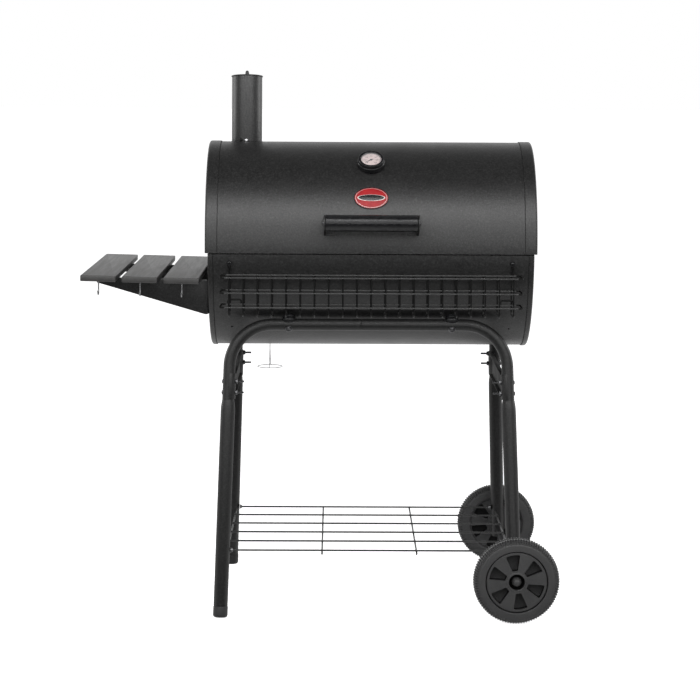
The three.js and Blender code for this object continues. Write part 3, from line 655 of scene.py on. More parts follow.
b_low = math.degrees(math.asin((849 - AZ) / 242.9))
tub = sheet(242.9, 241.3, 365.6, b_low, -180 - b_low, 110)
cutters = [on_drum(tube_along(3.3, 236, 250, 20), a, 0, x) for x in (-191, 191) for a in (-41.3, 221.3)]
cutters += [on_drum(tube_along(2.6, 236, 250, 16), a, 0, x) for x, a in ((-326, -49.4), (328, -50.7))]
cutters.append(shift(tube_along(6, 600, 630, 24), -241, 0, 0))
tub = cut(tub, *cutters)
piece("barrel_sheet", tub, paint, "cart", "barrel_shell", 20)
for s in (-1, 1):
    strip = sheet(241.2, 239.7, 7, b_low, -180 - b_low, 110)
    piece("barrel_joint_left" if s < 0 else "barrel_joint_right", shift(strip, s * 367.6), paint_in, "cart", sharp=20)
ledges = []
for s in (-1, 1):
    for (y0, y1, z0, half) in ((221, 240.2, 826, 340), (148, 194.4, 712, 345)):
        lo, hi = min(s * y0, s * y1), max(s * y0, s * y1)
        ledges.append(block(-half, half, lo, hi, z0, z0 + 2, 0.5))
        lip = s * y0
        ledges.append(block(-half, half, min(lip, lip + s * 2), max(lip, lip + s * 2), z0 - 9, z0 + 1, 0.5))
piece("grate_ledges", joined(ledges), paint_in, "cart")

left_cap = end_cap(244.7, 379, 12, -1, False)
piece("barrel_cap_left", left_cap, paint, "cart", "barrel_left_end")
right_cap = end_cap(244.7, 379, 12, 1, False)
vents = [shift(rot(sector(9, 33, a, 32, 366, 392), "Y", 90), 0, 0, 742) for a in (0, 180)]
right_cap = cut(right_cap, *vents)
piece("barrel_cap_right", right_cap, paint, "cart", "barrel_right_end")


def on_end(m):
    return shift(rot(m, "Y", 90), 379, 0, 742)


shutter = lathe([(3.4, 0.4), (37, 0.4), (37, 1.2), (36.4, 1.9), (3.4, 1.9)], 64)
shutter = cut(shutter, sector(9, 33, 90, 32, -2, 5), sector(9, 33, 270, 32, -2, 5))
tab = xzslab([(p.x, p.y) for p in rounded([(34, 0.4), (44.2, 0.4), (44.2, 12), (42.6, 12), (42.6, 1.9), (34, 1.9)], [0, 1.6, 0.7, 0.7, 1.0, 0], 4)], -6, 6)
tab = halve(tab, (0, 0, 0.4), (0, 0, -1))
piece("air_shutter", on_end(join(shutter, tab)), paint_bracket, "damper", "side_damper")
piece("shutter_rivet", on_end(join(shift(rivet(6, 2.8), 0, 0, 2.2), tube_along(3, -4, 2.4, 20))), steel, "cart")

# ------------------------------------------------------------------ smoke stack
stack = lathe([(p.x, p.y) for p in rounded([(35, 236), (36.5, 236), (36.5, 402.5), (35, 402.5)], [0.4, 0.4, 0.7, 0.7], 3)], 72)
plate = cut(lathe([(0, 395), (35.2, 395), (35.2, 396.5), (0, 396.5)], 72), sector(10, 30, 0, 32, 390, 400), sector(10, 30, 180, 32, 390, 400), tube_along(3.2, 380, 400, 20))
piece("stack_pipe", on_drum(join(stack, plate), CH_A, 0, CH_X), paint, "lid", "chimney_stack")
bead = []
for k in range(64):
    f = 2 * math.pi * k / 64
    t = 36.9 * math.sin(f)
    bead.append((36.9 * math.cos(f), t, math.sqrt(246.1 ** 2 - t * t)))
piece("stack_weld", on_drum(sweep(bead, 1.15, 8, closed=True), CH_A, 0, CH_X), paint, "lid")
capm = lathe([(3.6, 402.8), (38.25, 402.8), (38.25, 404.0), (37.6, 404.9), (30, 405.3), (20, 405.7), (10.5, 405.9), (6, 405.9), (3.6, 404.6)], 72)
capm = cut(capm, sector(11, 30, 90, 32, 398, 410), sector(11, 30, 270, 32, 398, 410))
piece("stack_cap_disc", on_drum(capm, CH_A, 0, CH_X), paint_bracket, "stack_cap", "chimney_cap")
knob = lathe([(0, 391), (3, 391), (3, 404.5), (3, 405.4), (6.4, 405.6), (6.4, 406.6), (5.8, 407.4), (5.0, 409.2), (4.5, 412), (3.9, 414.8), (2.8, 417.0), (1.4, 417.8), (0, 417.8)], 24)
piece("stack_cap_knob", on_drum(join(knob, shift(hexagon(10, 4), 0, 0, 390.8)), CH_A, 0, CH_X), paint_bracket, "lid", "chimney_cap_bolt")


def facing_out(m, deg, r, x, l):
    """Stands a part on the stack's side, at height l up it and facing deg round it."""
    m = rot(m, "X", 90)
    m = shift(m, 0, -r, 0)
    m = rot(m, "Z", deg)
    return on_drum(shift(m, 0, 0, l), CH_A, 0, x)


piece("stack_screw", facing_out(HEAD4, 0, 36.4, CH_X, 246.5), bright, "lid")
# painted shade: this screw takes the darkened wire coat
piece("stack_screw_dark", facing_out(rivet(4, 2.2), -20, 36.4, CH_X, 246.7), wire, "lid")

# ------------------------------------------------------------------ heat gauge
G0 = 246.2
cup = rounded([(3, -8), (3, 0), (31.8, 0), (31.8, 10.5), (30.4, 12.2), (30.2, 17), (28.8, 20), (24.2, 20), (24.2, 14), (0, 14), (0, -8)], [0, 0, 0.6, 1.0, 0.8, 1.4, 1.6, 1.1, 0, 0, 0], 5)
cup = [(p.x, p.y) for p in cup]
stem = [(0, -70), (2.2, -70), (3, -68), (3, -2), (0, -2)]
piece("gauge_cup", on_drum(lathe(cup, 72), GA, G0), gauge_m, "lid", "thermometer_housing")
piece("gauge_stem", on_drum(join(lathe(stem, 20), shift(hexagon(14, 4), 0, 0, -6.6)), GA, G0), plated, "lid")
piece("gauge_face", on_drum(lathe([(2, 14.0), (24, 14.0), (24, 14.7), (23.6, 15.0), (2, 15.0)], 64), GA, G0), dial_m, "lid", "thermometer_dial")
ticks = []
for k in range(31):
    a = 225 - k * 9
    big_tick = k % 5 == 0
    t = prism([(p.x, p.y) for p in [Vector((-0.42 if big_tick else -0.2, 18.6 if big_tick else 20.4)), Vector((0.42 if big_tick else 0.2, 18.6 if big_tick else 20.4)), Vector((0.42 if big_tick else 0.2, 22.4)), Vector((-0.42 if big_tick else -0.2, 22.4))]], 15.0, 15.12)
    ticks.append(rot(t, "Z", a - 90))
arc = lathe([(22.4, 15.0), (22.9, 15.0), (22.9, 15.12), (22.4, 15.12)], 60, -45, 225)
ticks.append(arc)


def number(text, size, x, y, z):
    c = bpy.data.curves.new("num", "FONT")
    c.body, c.size, c.align_x, c.align_y, c.extrude = text, size, "CENTER", "CENTER", 0.05
    o = bpy.data.objects.new("num", c)
    bpy.context.scene.collection.objects.link(o)
    dg = bpy.context.evaluated_depsgraph_get()
    me = bpy.data.meshes.new_from_object(o.evaluated_get(dg))
    out = [(v.co.x + x, v.co.y + y, v.co.z + z) for v in me.vertices], [tuple(p.vertices) for p in me.polygons]
    bpy.data.objects.remove(o)
    bpy.data.curves.remove(c)
    bpy.data.meshes.remove(me)
    return out


for k, text in enumerate(("100", "200", "300", "400", "500", "600", "700")):
    a = rad(225 - k * 45)
    ticks.append(number(text, 4.3, 14.4 * math.cos(a), 14.4 * math.sin(a), 15.06))
piece("gauge_marks", on_drum(joined(ticks), GA, G0), print_m, "lid")
hand = join(
    shift(rivet(2.6, 1.2), 0, 0, 15.9),
    bevel(prism([(-5.5, -0.9), (0, -1.3), (17.2, -0.3), (17.2, 0.3), (0, 1.3), (-5.5, 0.9)], 15.5, 16.1), 0.15, 1),
    tube_along(1.3, 13.5, 16.2, 16),
)
piece("gauge_hand", on_drum(rot(hand, "Z", 215), GA, G0), print_m, "gauge_hand", "thermometer_needle")
piece("gauge_window", on_drum(lathe([(0, 17.2), (24, 17.2), (24, 17.9), (20, 18.3), (0, 18.4)], 64), GA, G0), lens_m, "lid", "thermometer_lens")

# ------------------------------------------------------------------ badge: plain red oval with a dark rim
def oval_shell(a, b, rings, n=72):
    """Rings of (share of the half-axes, height from the barrel's axis), turned into a plate bent to the lid."""
    V, F = [], []
    for q, h in rings:
        for k in range(n):
            f = 2 * math.pi * k / n
            x, s = a * q * math.cos(f), b * q * math.sin(f)
            t = rad(30) + s / 247.5
            V.append((x, -h * math.cos(t), AZ + h * math.sin(t)))
    m = len(rings)
    for i in range(m):
        j = (i + 1) % m
        F += [(i * n + k, i * n + (k + 1) % n, j * n + (k + 1) % n, j * n + k) for k in range(n)]
    return V, F


E = 1e-3
piece("badge_enamel", oval_shell(40.5, 27.5, [(E, 247.0), (0.965, 247.0), (0.965, 248.2), (0.9, 248.45), (0.6, 248.7), (0.3, 248.85), (E, 248.9)]), badge_m, "lid", "badge_plate")
piece("badge_rim", oval_shell(40.5, 27.5, [(0.955, 247.2), (1.0, 247.2), (1.0, 248.7), (0.99, 249.2), (0.968, 249.2), (0.955, 248.5)]), rim_m, "lid")
piece("badge_line", oval_shell(40.5, 27.5, [(0.885, 248.2), (0.905, 248.2), (0.905, 248.6), (0.885, 248.64)]), line_m, "lid")

band = [(E, 248.6), (1.0, 248.6), (1.0, 249.15), (0.94, 249.3), (E, 249.35)]
edge_ = [(0.93, 248.6), (1.08, 248.5), (1.08, 249.05), (1.0, 249.2), (0.93, 249.1)]
piece("badge_band", oval_shell(30.0, 7.6, band), rim_m, "lid")
piece("badge_band_edge", oval_shell(30.0, 7.6, edge_), line_m, "lid")

# ------------------------------------------------------------------ lid handle
gp = rounded([(0, -106.5), (19.15, -106.5), (19.15, 106.5), (0, 106.5)], [0, 2.6, 2.6, 0], 6)
gprof = [(p.x, p.y) for p in gp]
mid = []
for p in gprof:
    mid.append(p)
grip = lathe(gprof[:8] + [(19.15, -106.5 + 213 * k / 24) for k in range(1, 24)] + gprof[8:], 64)
piece("handle_grip_bar", shift(rot(grip, "Y", 90), 0, -303, 926.5), grip_m, "lid", "handle_grip", 40)


def at(r, a):
    return (-r * math.cos(rad(a)), AZ + r * math.sin(rad(a)))


for s in (-1, 1):
    x0 = 106.8 if s > 0 else -109.8
    disc = [(-303 + 18.9 * math.cos(rad(f)), 926.5 + 18.9 * math.sin(rad(f))) for f in range(60, 301, 10)]
    lower = at(247.0, 8.9)
    outline = disc + [lower] + [at(247.0, 8.9 + 11 * k / 6) for k in range(1, 7)]
    arm = bevel(slab(outline, x0, x0 + 3), 0.5, 2, 50)
    fx0, fx1 = (x0 - 25, x0 + 3) if s > 0 else (x0, x0 + 28)
    foot_pts = [at(249.1, 8.9 + 6.6 * k / 6) for k in range(7)] + [at(246.6, 15.5 - 6.6 * k / 6) for k in range(7)]
    foot = bevel(slab(foot_pts, fx0, fx1), 0.6, 2, 50)
    name = "right" if s > 0 else "left"
    piece(f"handle_arm_{name}", join(arm, foot), paint_bracket, "lid", f"handle_bracket_{name}")
    head = rot(HEAD5, "Y", 90 if s > 0 else -90)
    piece(f"handle_end_screw_{name}", shift(head, x0 + 3 if s > 0 else x0, -303, 926.5), steel, "lid")
    piece(f"handle_foot_screw_{name}", on_drum(HEAD4, 11.6, 248.8, x0 - 13 if s > 0 else x0 + 16), steel, "lid")

# ------------------------------------------------------------------ hinges
for i, x in enumerate((-250, 250)):
    name = ("left", "right")[i]
    HY, HZ = 258, 850.2

    def knuckle(a, b, ro=5.6, ri=3.1):
        p = [(q.x, q.y) for q in rounded([(ri, a), (ro, a), (ro, b), (ri, b)], 0.5, 2)]
        return shift(rot(lathe(p, 32), "Y", 90), x, HY, HZ)

    def leaf(r0, r1, a0, a1, w):
        pts = [at(r1, a0 + (a1 - a0) * k / 10) for k in range(11)] + [at(r0, a1 - (a1 - a0) * k / 10) for k in range(11)]
        return bevel(slab(pts, x - w, x + w), 0.6, 2, 50)

    low = [leaf(245.1, 247.5, 182, 195, 26), knuckle(-26, -9.3), knuckle(9.3, 26)]
    for a, b in ((-26, -9.3), (9.3, 26)):
        low.append(block(x + a, x + b, 245.6, HY - 2, HZ - 5.2, HZ - 3, 0.4))
    low.append(shift(rot(lathe([(0, -27), (2.95, -27), (2.95, 27), (0, 27)], 24), "Y", 90), x, HY, HZ))
    for a, d in ((-26.4, -1), (26.4, 1)):
        low.append(shift(rot(rivet(4.6, 2.6), "Y", 90 * d), x + a, HY, HZ))
    piece(f"hinge_lower_{name}", joined(low), paint_bracket, "cart", f"hinge_body_leaf_{name}")
    high = [leaf(248.1, 250.5, 165, 179.6, 26), knuckle(-9, 9)]
    high.append(block(x - 9, x + 9, 248.6, HY - 2, HZ + 3.4, HZ + 5.5, 0.4))
    piece(f"hinge_upper_{name}", joined(high), paint_bracket, "lid", f"hinge_lid_leaf_{name}")
    piece(f"hinge_screws_lower_{name}", joined(on_drum(HEAD4, a, 247.3, x + dx) for dx in (-16, 16) for a in (187, 192)), steel, "cart")
    piece(f"hinge_screws_upper_{name}", joined(on_drum(HEAD4, a, 250.3, x + dx) for dx in (-16, 16) for a in (168.5, 174.5)), steel, "lid")

# ------------------------------------------------------------------ inside the drum
for g in range(4):
    x0 = -363 + g * 181.7
    x1, z0, z1 = x0 + 180.9, 828.4, 840.4
    parts = []
    for k in range(1, 9):
        c = x0 + 4 + k * (x1 - x0 - 8) / 9
        tip = rounded([(c - 3.3, z0 + 1.5), (c + 3.3, z0 + 1.5), (c + 2.3, z1 - 0.4), (c - 2.3, z1 - 0.4)], [0.6, 0.6, 2.0, 2.0], 4)
        parts.append(xzslab([(p.x, p.y) for p in tip], -217, 217))
    for (a, b, c, d) in ((x0, x0 + 8, -224, 224), (x1 - 8, x1, -224, 224), (x0 + 4, x1 - 4, -224, -215), (x0 + 4, x1 - 4, 215, 224)):
        parts.append(block(a, b, c, d, z0, z1, 1.5, 3))
    parts.append(block(x0 + 4, x1 - 4, -4, 4, z0 + 0.8, z1 - 3, 1.0))
    piece(f"iron_grate_{g + 1}", joined(parts), iron_m, f"grate_{g + 1}", f"cooking_grate_{g + 1}")

pan = block(-355, 355, -175, 175, 714.4, 716.4, 0.5)
slots = []
for k in range(-4, 5):
    pts = rounded([(k * 74 - 6, -120), (k * 74 + 6, -120), (k * 74 + 6, 120), (k * 74 - 6, 120)], 5.8, 5)
    slots.append(prism([(p.x, p.y) for p in pts], 705, 725))
pan = cut(pan, *slots)
walls = [block(-355, 355, s * 174 - 1, s * 174 + 1, 714.4, 736, 0.5) for s in (-1, 1)]
walls += [block(s * 354 - 1, s * 354 + 1, -175, 175, 714.4, 736, 0.5) for s in (-1, 1)]
piece("coal_tray", joined([pan, *walls]), tray_m, "tray", "charcoal_tray")

rack = []
for s in (-1, 1):
    rack.append(sweep(rounded([(s * 300, 232.5, 818.5), (s * 300, 232.5, 893), (s * 300, 190, 962), (s * 300, 42.5, 962)], [0, 22, 26, 0], 8, False), 2.4, 12))
for y in (45, 90, 135, 180):
    rack.append(sweep([(-329.5, y, 958.5), (329.5, y, 958.5)], 2.3, 12))
for x in (-200, -100, 0, 100, 200):
    rack.append(sweep([(x, 42.5, 962), (x, 182.5, 962)], 1.8, 10))
piece("upper_rack", joined(rack), plated, "cart", "warming_rack")

# ------------------------------------------------------------------ leg frames
def plane_at(s, x, t):
    return (x, s * (RUN_Y + t * math.sin(LEAN)), RUN_Z - t * math.cos(LEAN))


def leg_x(side, z):
    return (1 if side else -1) * (abs(LEG_X[side]) + (RUN_Z - BEND_R - z) * SPLAY[side])


def leg_y(s, z):
    return s * (RUN_Y + (RUN_Z - z) * math.tan(LEAN))


def leg(side, s, z):
    return (leg_x(side, z), leg_y(s, z), z)


for s, where in ((-1, "front"), (1, "rear")):
    for side, hand_ in ((0, "left"), (1, "right")):
        sx = 1 if side else -1
        d = math.atan(SPLAY[side] * math.cos(LEAN))
        z_end = RUN_Z - (BEND_R - BEND_R * math.sin(d)) * math.cos(LEAN)
        xc = abs(leg_x(side, z_end)) - BEND_R * math.cos(d)
        turn = math.pi / 2 - d
        arc = [plane_at(s, sx * (xc + BEND_R * math.sin(turn * k / 26)), BEND_R - BEND_R * math.cos(turn * k / 26)) for k in range(27)]
        seam = SEAM_X + (0.4 if side else -0.4)
        path = [plane_at(s, seam, 0), plane_at(s, seam + sx * 0.8, 0), *arc, leg(side, s, 472)]
        m = pipe(path, [13.3] + [14.0] * (len(path) - 1), 12.5, 36)
        if not side:
            m = join(m, pipe([plane_at(s, SEAM_X - 8, 0), plane_at(s, SEAM_X + 26, 0)], 12.3, 10.9, 28))
        piece(f"leg_tube_{where}_{hand_}", m, paint_leg, "cart", f"leg_bend_{where}_{hand_}", 40)
        low = 80 if side else 26.6
        zs = [505, 503.8, 499, 494, 488, 481, low + 1, low]
        radii = [14.35, 14.6, 15.2, 15.9, 16.45, 16.75, 16.75, 16.4]
        m = pipe([leg(side, s, z) for z in zs], radii, [14.15, 14.15, 14.15, 14.15, 14.5, 14.5, 14.5, 14.5], 36)
        if side:
            bore = rot(tube_along(6.5, -40, 40, 20), "X", 90)
            m = cut(m, shift(bore, AXLE_X, leg_y(s, WHEEL_R), WHEEL_R))
        piece(f"leg_sleeve_{where}_{hand_}", m, paint_leg, "cart", f"lower_leg_{where}_{hand_}", 40)
        th, rc = (-41.3 if s < 0 else 221.3), math.hypot(RUN_Y, AZ - RUN_Z)
        washer = lathe([(3, rc + 13.2), (8.6, rc + 13.2), (8.6, rc + 14.6), (8.2, rc + 15.2), (3, rc + 15.2)], 32)
        head = shift(HEAD7, 0, 0, rc + 15.1)
        shank = lathe([(0, 233), (3, 233), (3, rc + 15.4), (0, rc + 15.4)], 20)
        nut = shift(hexagon(11.5, 5), 0, 0, 235.4)
        piece(f"leg_screw_{where}_{hand_}", on_drum(join(washer, head, shank, nut), th, 0, sx * 191), steel, "cart", f"leg_bolt_{where}_{hand_}")
        saddle = lathe([(0, 243.3), (15.4, 243.3), (15.6, 247.6), (14.9, 251.4), (13.1, 254.6), (9.9, 256.6), (0, 257.2)], 48)
        ball = lathe([(0, -1)] + [(math.sin(rad(a)), -math.cos(rad(a))) for a in range(12, 180, 12)] + [(0, 1)], 48)
        cap = xf(ball, Matrix.Translation((sx * 191, s * 205.5, 693.6)) @ Matrix.Diagonal((15.4, 8.6, 7.7, 1.0)))
        piece(f"leg_saddle_{where}_{hand_}", join(on_drum(saddle, th, 0, sx * 191), cap), gauge_m, "cart")

for s, where in ((-1, "front"), (1, "rear")):
    a, b = Vector(leg(0, s, 27.0)), Vector(leg(0, s, 0.0))
    u = (a - b).normalized()
    pts, rr = [], []
    for t, r in ((0.0, 12.8), (0.9, 14.9), (2.4, 16.3), (4.6, 17.1), (7, 17.3), (24.2, 17.3), (25.8, 17.0), (26.4, 16.2)):
        pts.append(b + u * t)
        rr.append(r)
    m = sweep(pts, rr, 36, tip=0)
    m = halve(m, (0, 0, 0.0), (0, 0, -1))
    piece(f"foot_plug_{where}", m, foot_m, "cart", f"foot_cap_{where}", 35)

for side, name in ((0, "left"), (1, "right")):
    sx = 1 if side else -1
    parts, studs = [], []
    for s in (-1, 1):
        P0, P1 = Vector(leg(side, s, 567)), Vector(leg(side, s, 508))
        ax = (P0 - P1).normalized()
        ux = Vector((-sx, 0, 0))
        ux = (ux - ax * ux.dot(ax)).normalized()
        uy = ax.cross(ux)
        outline = []
        for k in range(19):
            f = rad(-84 + 168 * k / 18)
            outline.append((16.5 * math.cos(f), 16.5 * math.sin(f)))
        for k in range(19):
            f = rad(84 - 168 * k / 18)
            outline.append((14.35 * math.cos(f), 14.35 * math.sin(f)))
        V, F = prism(outline, 0, (P0 - P1).length)
        M = Matrix.Translation(P1) @ Matrix((ux, uy, ax)).transposed().to_4x4()
        parts.append(bevel(xf((V, F), M), 0.5, 2, 50))
        for z in ((548, 522.5) if s < 0 else (561, 535.5)):
            p = leg(side, s, z)
            x = p[0] - sx * 15.9
            turn90 = -90 * sx
            studs.append(shift(rot(thread(2.5, 20), "Y", turn90), x, p[1], z))
            studs.append(shift(rot(hexagon(10.4, 5), "Y", turn90), x, p[1], z))
            studs.append(shift(rot(lathe([(2.5, 0), (7, 0), (7, 0.9), (2.5, 0.9)], 24), "Y", turn90), x + sx * 0.2, p[1], z))
            out = shift(rot(rivet(5.2, 3.0), "Y", 90 * sx), p[0] + sx * 13.4, p[1], z)
            studs.append(out)
    xw, y = sx * (abs(leg_x(side, 538)) - 8), leg_y(1, 538) - 12.2
    web = block(xw - 1.2, xw + 1.2, -y, y, 510, 565, 0.5)
    x_in = xw - sx * 9
    lips = [block(min(xw, x_in), max(xw, x_in), -y + 14, y - 14, z0, z0 + 2, 0.5) for z0 in (510, 563)]
    # painted shade: the brace web and lips take the darkened copy of the powder coat
    piece(f"leg_brace_{name}", joined([web, *lips]), brace_coat_painted_shade, "cart", f"side_brace_{name}", 35)
    piece(f"brace_clasps_{name}", joined(parts), paint_leg, "cart", sharp=35)
    piece(f"brace_studs_{name}", joined(studs), steel, "cart")

# ------------------------------------------------------------------ axle and wheels
nut = []
for s in (-1, 1):
    body = [(0, 340.6), (11.9, 340.6), (11.9, 343), (11.2, 345.6), (9.4, 350.6), (7.2, 353.8), (3.6, 355.6), (0, 356)]
    d = lathe(body, 12)
    ring_ = lathe([(9, 340.6), (12, 340.6), (12, 342.2), (11.6, 342.6), (9, 342.6)], 40)
    m = join(d, ring_)
    nut.append(m if s > 0 else rot(m, "X", 180))
rod = lathe([(0, -346), (6.3, -346), (6.3, 346), (0, 346)], 32)
piece("axle_bar", shift(rot(rod, "X", 90), AXLE_X, 0, WHEEL_R), steel, "cart", "axle_rod")
piece("axle_end_nuts", shift(rot(joined(nut), "X", 90), AXLE_X, 0, WHEEL_R), wheel_m, "cart", sharp=20)

R = 96.2
wheel_pts = rounded(
    [(6.5, -38), (13, -38), (13, -15), (20, -13.5), (66, -13.5), (69, -21.5), (72.5, -22.6), (88, -22.0), (R, -14), (R, 14), (88, 22.0), (73.6, 22.6), (72.7, 21.8), (72.5, 12), (70.3, 12), (70.1, 18.6), (68.7, 19.3), (23, 19.3), (21.4, 20.6), (18.6, 20.6), (18.4, 5), (6.5, 5)],
    [0.6, 1.0, 2.0, 1.0, 2, 1.2, 1.5, 5, 4, 4, 5, 0.6, 0.5, 0.4, 0.4, 0.4, 0.4, 0.6, 0.6, 0.6, 0.6, 0.5], 3)
wheel_body = lathe([(p.x, p.y) for p in wheel_pts], 96)
pockets = []
for c in (99, 39, -21, -81, -141, 159):
    f = lambda r, d: (r * math.cos(rad(c + d)), r * math.sin(rad(c + d)))
    pts = [f(27, -13), *[f(64.5, -15 + 5 * k) for k in range(7)], f(27, 13)]
    pts = rounded(pts, [2.5, 3.5, 0, 0, 0, 0, 0, 3.5, 2.5], 4)
    q = [(p.x, p.y) for p in pts]
    pockets += [prism(q, -1, 30), prism(q, -30, -4)]
pocket_all = joined(pockets)
wheel_body = cut(wheel_body, pocket_all)
lugs = []
N = 100
for row, (z0, z1, off) in enumerate(((-21.0, -7.4, 0.0), (-6.4, 6.4, 0.5), (7.4, 21.0, 0.0))):
    for k in range(N):
        a = 2 * math.pi * (k + off) / N
        w = 0.0190
        zs = (z0, z1)
        r_in = 88.0 if row != 1 else 95.2
        tops = [WHEEL_R - 0.05, WHEEL_R - 0.05] if row != 1 else [98.7, 98.7]
        if row == 0:
            tops[0] = 95.6
        if row == 2:
            tops[1] = 95.6
        V = []
        for zi, z in enumerate(zs):
            for rr_, ww in ((r_in if (row == 1 or (zi == (0 if row == 0 else 1))) else 95.2, w), (tops[zi], w * 0.74)):
                for sgn in (-1, 1):
                    V.append((rr_ * math.cos(a + sgn * ww), rr_ * math.sin(a + sgn * ww), z))
        # order: z0 low-, low+, top-, top+, z1 low-, low+, top-, top+
        F = [(0, 1, 3, 2), (4, 6, 7, 5), (0, 2, 6, 4), (1, 5, 7, 3), (2, 3, 7, 6), (0, 4, 5, 1)]
        lugs.append((V, F))
lug_m = joined(lugs)
for s, name in ((-1, "front"), (1, "rear")):
    turn = 90 if s < 0 else -90
    body = f"{name}_wheel"
    piece(f"wheel_disc_{name}", shift(rot(wheel_body, "X", turn), AXLE_X, s * WHEEL_Y, WHEEL_R), wheel_m, body, f"wheel_{name}", 30)
    piece(f"wheel_tread_{name}", shift(rot(lug_m, "X", turn), AXLE_X, s * WHEEL_Y, WHEEL_R), wheel_m, body, sharp=20)

# ------------------------------------------------------------------ lower wire rack
Z = 154.5
edge, edge_r = leg_x(0, Z) + 17.4, leg_x(1, Z) - 17.4
wires = []
for k in range(6):
    y = -258 + k * 103.2
    outer = k in (0, 5)
    wires.append(sweep([(edge if outer else -336.3, y, Z), (edge_r if outer else 332.3, y, Z)], 2.1, 12))
for x in (-334, 330):
    wires.append(sweep([(x, -243.6, Z - 4.2), (x, 243.6, Z - 4.2)], 2.1, 12))
for x in (-111, 111):
    wires.append(sweep(rounded([(x, -266.8, Z - 8), (x, -262, Z - 4.2), (x, 262, Z - 4.2), (x, 266.8, Z - 8)], [0, 3, 3, 0], 3, False), 2.1, 12))
piece("rack_wires", joined(wires), rack_wire, "cart", "bottom_grate", 40)
clamps = []
for x, d in ((edge, 1), (edge_r, -1)):
    for y in (-258, 258):
        clamps.append(shift(rot(join(hexagon(9, 4), shift(lathe([(2.2, 0), (6.4, 0), (6.4, 1.2), (2.2, 1.2)], 24), 0, 0, -1.2)), "Y", 90 * d), x + d * 1.6, y, Z))
piece("rack_end_nuts", joined(clamps), steel, "cart")

# ------------------------------------------------------------------ side shelf
def tilted(m):
    M = Matrix.Translation((-395.5, 0, 797.5)) @ Matrix.Rotation(rad(1.3), 4, "Y") @ Matrix.Translation((395.5, 0, -800))
    return xf(m, M)


for (x0, x1), name in (((-668, -587), "outer"), ((-572.5, -491.5), "middle"), ((-476.5, -395.5), "inner")):
    pts = rounded([(x0 + 0.0, -292.9), (x1, -292.9), (x1, 292.9), (x0, 292.9)], 2.2, 4)
    m = bevel(prism([(p.x, p.y) for p in pts], 786.1, 799.9), 2.0, 3, 50)
    piece(f"slat_{name}", tilted(m), wood_m, "cart", f"shelf_slat_{name}", 40)

for s in (-1, 1):
    y, zt, inward = s * 190, 785.6, -s * 18
    web = bevel(xzslab([(-379.6, zt), (-640, zt), (-640, zt - 11), (-384, 706), (-379.6, 706)], y - 1.2, y + 1.2), 0.4, 2, 50)
    top = block(-640, -384, min(y, y + inward), max(y, y + inward), zt - 2.2, zt, 0.5)
    hem = Vector((-640, 0, zt - 11)), Vector((-384, 0, 706))
    roll = sweep([(hem[0].x, y - s * 1.6, hem[0].z + 1.2), (hem[1].x, y - s * 1.6, hem[1].z + 1.2)], 2.0, 12)
    back = block(-381.6, -379.6, min(y, y + inward), max(y, y + inward), 704, 781.6, 0.5)
    m = join(tilted(join(web, top, roll)), back)
    m = halve(m, (-379.5, 0, 0), (1, 0, 0))
    name = "front" if s < 0 else "rear"
    piece(f"shelf_arm_{name}", m, paint_bracket, "cart", f"shelf_bracket_{name}")
    heads = [shift(rot(HEAD5, "Y", -90), -381.6, y - s * 10, z) for z in (728, 768)]
    heads += [tilted(shift(rot(hexagon(9, 3.6), "X", 180), x, y - s * 10, zt - 2.2)) for x in (-628, -532, -436)]
    piece(f"shelf_screws_{name}", joined(heads), steel, "cart")

for i, x in enumerate((-628, -532, -436)):
    z = 782.7 + (-395.5 - x) * math.tan(rad(1.3))
    path = [(x, -272, z), (x, -272, z - 18)] + [(x, -280 + 8 * math.cos(rad(-20 * k)), z - 20 + 10 * math.sin(rad(-20 * k))) for k in range(0, 10)]
    piece(f"hook_{i + 1}", sweep(path, 1.6, 12), hook_m, "cart", f"tool_hook_{i + 1}", 40)

# ------------------------------------------------------------------ front wire basket
X, FR, BK = 346, -322, -249.5
rails_, links = [], []
for z in (801.5, 766.5, 733.5):
    for y in (FR, BK):
        rails_.append(sweep([(9 - X, y, z), (X - 9, y, z)], 2.1, 12))
    for s in (-1, 1):
        links.append(sweep(rounded([(s * (X - 9.4), FR, z), (s * X, FR, z), (s * X, BK, z), (s * (X - 9.4), BK, z)], [0, 8, 8, 0], 6, False), 2.15, 12))
# painted highlight on the rails and the rib feet, which take the lighter copy of the wire coat; painted shade on the
# end links, ribs and hangers, which take the darker copy
piece("basket_rails", joined(rails_), lit_rail_coat, "cart", "front_basket", 40)
piece("basket_end_links", joined(links), wire, "cart", sharp=40)
ribs, feet = [], []
for k in range(21):
    x = -326 + 652 * k / 20
    for y in (BK + 3.4, FR + 3.4):
        ribs.append(sweep([(x, y, 804), (x, y, 716.6)], 1.9, 10))
    path = rounded([(x, BK + 3.4, 717), (x, BK + 3.4, 712.9), (x, FR + 3.4, 712.9), (x, FR + 3.4, 717)], [0, 3.6, 3.6, 0], 6, False)
    feet.append(sweep(path, 1.9, 10))
piece("basket_ribs", joined(ribs), wire, "cart", sharp=40)
piece("basket_rib_feet", joined(feet), lit_rail_coat, "cart", sharp=40)
hang = []
for s in (-1, 1):
    x = s * 328
    path = rounded([(x - 1.3, BK + 3.6, 799), (x - 1.3, BK + 3.6, 812), (x - 2.4, -246.8, 824), (x - 4.4, -246.8, 833), (x + 4.4, -246.8, 833), (x + 2.4, -246.8, 824), (x + 1.3, BK + 3.6, 812), (x + 1.3, BK + 3.6, 799)], [0, 6, 6, 4.2, 4.2, 6, 6, 0], 6, False)
    hang.append(sweep(path, 1.3, 10))
    path = rounded([(s * 331, BK + 3.6, 730), (s * 331, BK + 3.6, 744), (s * 301, BK + 3.6, 744), (s * 300, BK + 3.6, 731)], [0, 5, 5, 0], 5, False)
    hang.append(sweep(path, 2.3, 10))
piece("basket_hangers", joined(hang), wire, "cart", sharp=40)
screws = []
